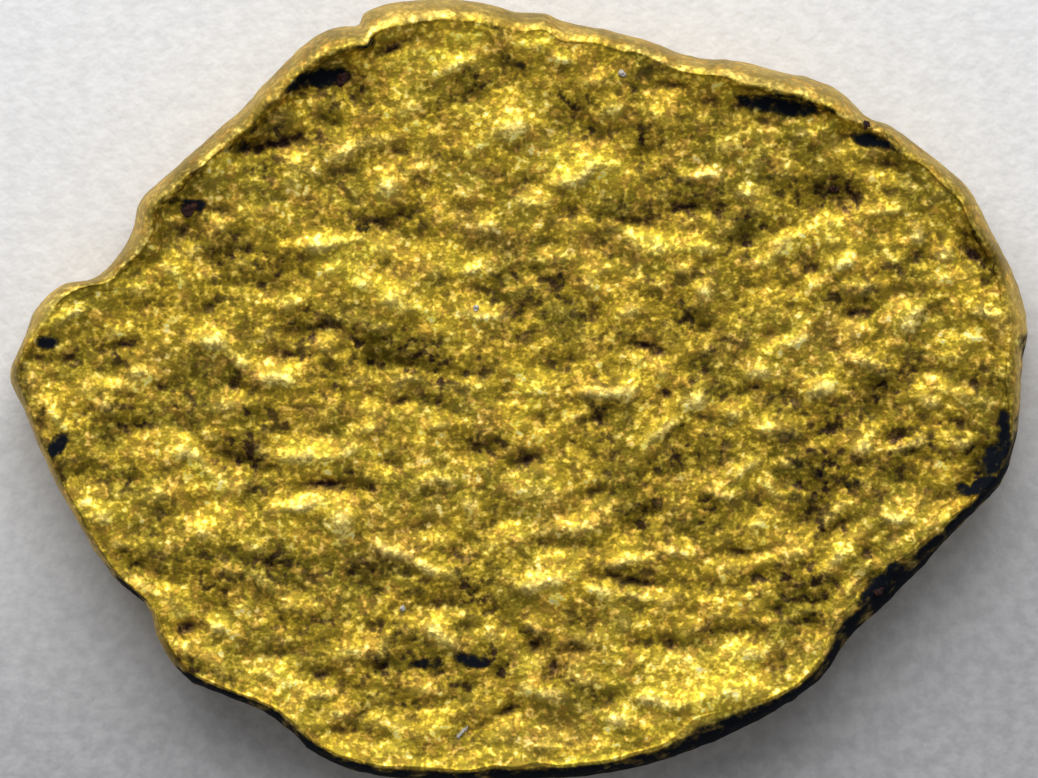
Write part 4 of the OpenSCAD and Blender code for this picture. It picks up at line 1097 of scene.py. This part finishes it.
def noise_node(tree, place, scale, detail):
    """A cloudy noise, with that many lumps to the millimetre."""
    node = tree.nodes.new("ShaderNodeTexNoise")
    node.inputs["Detail"].default_value = detail
    plug(tree, node.inputs["Vector"], place)
    plug(tree, node.inputs["Scale"], scale)
    return node


def stirred(tree, place, scale, reach_mm):
    """The place moved about by a noise, so that grains drawn with it are uneven."""
    shift = tree.nodes.new("ShaderNodeVectorMath")
    shift.operation = "MULTIPLY_ADD"
    tree.links.new(noise_node(tree, place, scale, 1).outputs["Color"], shift.inputs[0])
    shift.inputs[1].default_value = (2 * reach_mm,) * 3
    tree.links.new(place, shift.inputs[2])
    return shift.outputs[0]


def raised_by(tree, height, distance_mm):
    """A bump of that height."""
    node = tree.nodes.new("ShaderNodeBump")
    node.inputs["Strength"].default_value = 1
    node.inputs["Distance"].default_value = distance_mm * MM
    plug(tree, node.inputs["Height"], height)
    return node.outputs["Normal"]


def new_group(name, inputs, outputs):
    """An empty shader group with those inputs and outputs."""
    group = bpy.data.node_groups.new(name, "ShaderNodeTree")
    for label, kind in inputs.items():
        group.interface.new_socket(label, in_out="INPUT", socket_type=kind)
    for label in outputs:
        group.interface.new_socket(label, in_out="OUTPUT", socket_type="NodeSocketFloat")
    return group, group.nodes.new("NodeGroupInput").outputs, group.nodes.new("NodeGroupOutput").inputs


def patch_group():
    """Soft-edged patches: 1 in a patch, 0 between."""
    group, given, result = new_group("soft_patches", {
        "Place": "NodeSocketVector",
        "Scale": "NodeSocketFloat",
        "Low": "NodeSocketFloat",
        "High": "NodeSocketFloat",
    }, ["Mask"])
    noise = noise_node(group, given["Place"], given["Scale"], 4)
    noise.inputs["Roughness"].default_value = PATCH_ROUGHNESS
    mask = range_node(group, noise.outputs["Fac"], given["Low"], given["High"])
    group.links.new(mask, result["Mask"])
    return group


def grain_group():
    """Granular surface: height of rounded grains, with a tone and a chance of each grain's own."""
    group, given, result = new_group("granular_surface", {
        "Place": "NodeSocketVector",
        "Scale": "NodeSocketFloat",
    }, ["Height", "Tone", "Chance"])
    cells = group.nodes.new("ShaderNodeTexVoronoi")
    group.links.new(given["Place"], cells.inputs["Vector"])
    group.links.new(given["Scale"], cells.inputs["Scale"])
    dome = range_node(group, cells.outputs["Distance"], *GRAIN_DOME)
    chance = group.nodes.new("ShaderNodeSeparateColor")
    group.links.new(cells.outputs["Color"], chance.inputs["Color"])
    group.links.new(dome, result["Height"])
    group.links.new(chance.outputs["Green"], result["Chance"])
    group.links.new(sum_node(group, "MULTIPLY", dome, chance.outputs["Red"]), result["Tone"])
    return group


SOFT_PATCHES, GRANULAR = patch_group(), grain_group()


def patches(tree, place, scale, low, high):
    """Soft patches placed in a material."""
    node = tree.nodes.new("ShaderNodeGroup")
    node.node_tree = SOFT_PATCHES
    for label, value in (("Place", place), ("Scale", scale), ("Low", low), ("High", high)):
        plug(tree, node.inputs[label], value)
    return node.outputs["Mask"]


def grain(tree, place, scale):
    """The granular surface placed in a material."""
    node = tree.nodes.new("ShaderNodeGroup")
    node.node_tree = GRANULAR
    plug(tree, node.inputs["Place"], place)
    plug(tree, node.inputs["Scale"], scale)
    return node.outputs


def new_material(name):
    """A material with one shader, which its own function fills in."""
    material = bpy.data.materials.new(name)
    material.use_nodes = True
    tree = material.node_tree
    tree.nodes.clear()
    output = tree.nodes.new("ShaderNodeOutputMaterial")
    shader = tree.nodes.new("ShaderNodeBsdfPrincipled")
    tree.links.new(shader.outputs["BSDF"], output.inputs["Surface"])
    return material, tree, shader.inputs


def metal_colour(tree, place, marks, chance):
    """Colour of the bare gold: deep or olive, bright where rubbed and with a painted highlight along the
    crest, stained, warmer in some grains, and stained in low places and as painted shade on sides turned
    from the light.
    """
    olive = patches(tree, place, *OLIVE_PATCHES)
    stain = sum_node(tree, "MULTIPLY", patches(tree, place, *STAIN_PATCHES), MOST_STAIN)
    colour = mix_colour(tree, olive, GOLD_DEEP, GOLD_OLIVE)
    # Rubbed high places, and the painted highlight along the crest
    colour = mix_colour(tree, marks["rubbed_and_highlight"], colour, GOLD_BRIGHT)
    colour = mix_colour(tree, stain, colour, GOLD_STAIN_AND_SHADE)
    colour = mix_colour(tree, marks["outside"], colour, GOLD_OUTSIDE)
    colour = mix_colour(tree, range_node(tree, chance, *WARM_GRAINS), colour, GOLD_WARM)
    # Stain in low places, and painted shade on the sides of lumps turned from the light
    return mix_colour(tree, range_node(tree, marks["hollow_and_shade"], *STAIN_AND_SHADE_IN_HOLLOWS), colour, GOLD_STAIN_AND_SHADE)


def ragged_mask(tree, mark, ragged, share, limits):
    """A mark with its edges broken up by a noise."""
    broken = sum_node(tree, "SUBTRACT", mark, sum_node(tree, "MULTIPLY", ragged, share))
    return range_node(tree, broken, *limits)


def dirt_and_shade_mask(tree, marks, swells, ragged):
    """Brown dirt in low places and in the dips of tarnished metal, and brown painted shade on the sides of
    lumps turned from the light.
    """
    most_dirt = range_node(tree, marks["tone"], *DIRT_BY_TONE)
    dark_brown = range_node(tree, swells, *DIRT_IN_DIPS, 0.0, most_dirt)
    in_dips = range_node(tree, marks["outside"], *CLEAN_OUTSIDE, dark_brown, 0.0)
    sunk_and_shaded = ragged_mask(tree, marks["hollow_and_shade"], ragged, HOLLOW_RAGGED, DARK_HOLLOWS_AND_SHADE)
    return sum_node(tree, "MAXIMUM", sunk_and_shaded, in_dips)


def with_painted_glints(tree, colour, marks, dark_brown, grain_tone, fleck_noise):
    """The colour with painted glints: grains and fine specks brighter or darker at random, as facets that
    catch the light, the brightest mixed to a pale painted highlight.
    """
    flecks = range_node(tree, fleck_noise, *GLINT_FLECKS)
    sparkle = sum_node(tree, "ADD", sum_node(tree, "MULTIPLY", grain_tone, GRAIN_SPARKLE), flecks)
    speckle = sum_node(tree, "ADD", SPECKLE_LEAST, sparkle)
    shown = range_node(tree, marks["outside"], *PLAIN_OUTSIDE, speckle, OUTSIDE_SPECKLE)
    colour = toned(tree, colour, shown)
    most_glint = range_node(tree, marks["tone"], *GLINT_BY_TONE)
    glint = range_node(tree, sparkle, *GLINT_BY_SPARKLE, 0.0, most_glint)
    covered = sum_node(tree, "MAXIMUM", dark_brown, marks["outside"])
    colour = mix_colour(tree, range_node(tree, covered, *GLINT_COVERED, glint, 0.0), colour, GOLD_GLINT)
    return no_paler(tree, colour, GOLD_PALEST)


def gold_material():
    """Native gold, tarnished and rubbed in patches, with dirt in low places, painted shade, black painted
    shadow and painted glints.
    """
    material, tree, shader = new_material("native_gold")
    place = place_node(tree)
    marks = {name: point_value(tree, name) for name in ("hollow_and_shade", "rubbed_and_highlight", "black", "outside", "tone")}
    grains = grain(tree, stirred(tree, place, STIR_SCALE, STIR_REACH), GOLD_GRAINS)
    # Fine noise for the painted glint specks and for ragged edges
    fleck_noise = noise_node(tree, place, GOLD_FLECKS, 1).outputs["Fac"]
    swells = noise_node(tree, place, GOLD_SWELLS, 2).outputs["Fac"]
    ragged = sum_node(tree, "SUBTRACT", sum_node(tree, "ADD", fleck_noise, swells), 1.0)

    dark_brown = dirt_and_shade_mask(tree, marks, swells, ragged)
    colour = metal_colour(tree, place, marks, grains["Chance"])
    # Brown dirt, and brown painted shade on the sides of lumps turned from the light
    colour = mix_colour(tree, dark_brown, colour, DIRT_AND_SHADE_BROWN)
    # Tone of the patches, lumps and mottling, partly painted light and shade
    colour = toned(tree, colour, sum_node(tree, "MINIMUM", marks["tone"], MOST_TONE))
    colour = no_paler(tree, colour, GOLD_RUBBED)
    colour = with_painted_glints(tree, colour, marks, dark_brown, grains["Tone"], fleck_noise)
    # Black painted shadow in the pits, and painted shade on the outer wall turned from the light
    black_shadow = ragged_mask(tree, marks["black"], ragged, PIT_EDGE_RAGGED, BLACK_SHADOW_RANGE)
    plug(tree, shader["Base Color"], mix_colour(tree, black_shadow, colour, SHADOW_BLACK))
    plug(tree, shader["Metallic"], range_node(tree, black_shadow, *PIT_METAL))
    bare = range_node(tree, marks["rubbed_and_highlight"], *BARE_ROUGHNESS)
    plug(tree, shader["Roughness"], range_node(tree, black_shadow, *PIT_ROUGHNESS, bare, 1.0))
    shader["Specular IOR Level"].default_value = DULL_SHEEN
    plug(tree, shader["Normal"], raised_by(tree, swells, SWELL_HEIGHT))
    return material


def quartz_material():
    """Milky quartz with grey veins."""
    material, tree, shader = new_material("milky_quartz")
    place = place_node(tree)
    veined = patches(tree, place, *QUARTZ_VEINS)
    plug(tree, shader["Base Color"], mix_colour(tree, veined, QUARTZ_PALE, QUARTZ_GREY))
    plug(tree, shader["Roughness"], range_node(tree, veined, *QUARTZ_ROUGHNESS))
    facets = grain(tree, place, QUARTZ_FACETS)
    plug(tree, shader["Normal"], raised_by(tree, facets["Height"], FACET_HEIGHT))
    return material


def ironstone_material():
    """Dull, crusty ironstone, rusty in patches."""
    material, tree, shader = new_material("dull_ironstone")
    place = place_node(tree)
    crust = grain(tree, place, CRUST_GRAINS)
    rusty = patches(tree, place, *RUST_PATCHES)
    colour = mix_colour(tree, rusty, IRONSTONE_PURPLE, IRONSTONE_RED)
    plug(tree, shader["Base Color"], toned(tree, colour, range_node(tree, crust["Tone"], *CRUST_TONE)))
    plug(tree, shader["Roughness"], range_node(tree, rusty, *CRUST_ROUGHNESS))
    shader["Specular IOR Level"].default_value = DULL_SHEEN
    plug(tree, shader["Normal"], raised_by(tree, crust["Height"], CRUST_HEIGHT))
    return material


def paper_material():
    """Mottled white paper, with painted shade that makes it greyer away from the light."""
    material, tree, shader = new_material("paper")
    place = place_node(tree)
    mottle = patches(tree, place, *PAPER_MOTTLE)
    near = mix_colour(tree, mottle, PAPER_PALE, PAPER_GREY)
    # Paper in painted shade, greyer towards the bottom and a little to the right
    far = mix_colour(tree, mottle, PAPER_SHADED_PALE, PAPER_SHADED_GREY)
    split = tree.nodes.new("ShaderNodeSeparateXYZ")
    tree.links.new(place, split.inputs[0])
    across = sum_node(tree, "MULTIPLY", split.outputs["X"], PAPER_SHADE_LEAN)
    away = sum_node(tree, "SUBTRACT", across, split.outputs["Y"])
    plug(tree, shader["Base Color"], mix_colour(tree, range_node(tree, away, *PAPER_SHADE_SPAN), near, far))
    shader["Roughness"].default_value = PAPER_ROUGHNESS
    shader["Specular IOR Level"].default_value = DULL_SHEEN
    fibres = noise_node(tree, place, PAPER_FIBRES, 1).outputs["Fac"]
    plug(tree, shader["Normal"], raised_by(tree, fibres, FIBRE_HEIGHT))
    return material


def make_paper():
    """The sheet of paper that the nugget lies on."""
    corners = [(x * FLOOR_HALF, y * FLOOR_HALF, 0) for x, y in ((-1, -1), (1, -1), (1, 1), (-1, 1))]
    mesh = bpy.data.meshes.new("floor")
    mesh.from_pydata(corners, [], [(0, 1, 2, 3)])
    mesh.materials.append(paper_material())
    floor = bpy.data.objects.new("floor", mesh)
    bpy.context.scene.collection.objects.link(floor)


def make_key_light():
    """A soft lamp above the top edge of the photograph."""
    lamp = bpy.data.lights.new("key", "AREA")
    lamp.shape = "RECTANGLE"
    lamp.size, lamp.size_y = KEY_SIZE
    lamp.energy = KEY_POWER
    key = bpy.data.objects.new("key", lamp)
    bpy.context.scene.collection.objects.link(key)
    key.location = KEY_PLACE
    key.rotation_euler = (-Vector(KEY_PLACE)).to_track_quat("-Z", "Y").to_euler()


def make_studio():
    """A white room that fills the shadows, lighter on the lamp's side and plain behind the paper."""
    world = bpy.data.worlds.new("studio")
    world.use_nodes = True
    bpy.context.scene.world = world
    tree = world.node_tree
    background = tree.nodes["Background"]
    background.inputs["Color"].default_value = WHITE
    source = tree.nodes.new("ShaderNodeTexCoord")
    split = tree.nodes.new("ShaderNodeSeparateXYZ")
    tree.links.new(source.outputs["Generated"], split.inputs[0])
    overhead = sum_node(tree, "MULTIPLY", split.outputs["Z"], FILL_OVERHEAD)
    lamp_side = sum_node(tree, "ADD", split.outputs["Y"], overhead)
    fill = range_node(tree, lamp_side, *FILL_RANGE, FILL_DARK, FILL_LIGHT)
    seen = tree.nodes.new("ShaderNodeLightPath").outputs["Is Camera Ray"]
    backdrop = sum_node(tree, "MULTIPLY", seen, BACKDROP_STRENGTH)
    plug(tree, background.inputs["Strength"], sum_node(tree, "MAXIMUM", fill, backdrop))


make_camera()
make_paper()
make_key_light()
make_studio()
gold = make_gold()
gold.data.materials.append(gold_material())
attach(gold, "root")
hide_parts("gold_body")
quartz, ironstone = quartz_material(), ironstone_material()
for name in QUARTZ_GRAINS:
    make_grain(name, quartz)
for name in IRONSTONE_GRAINS:
    make_grain(name, ironstone)

bpy.context.scene.view_settings.view_transform = "Standard"
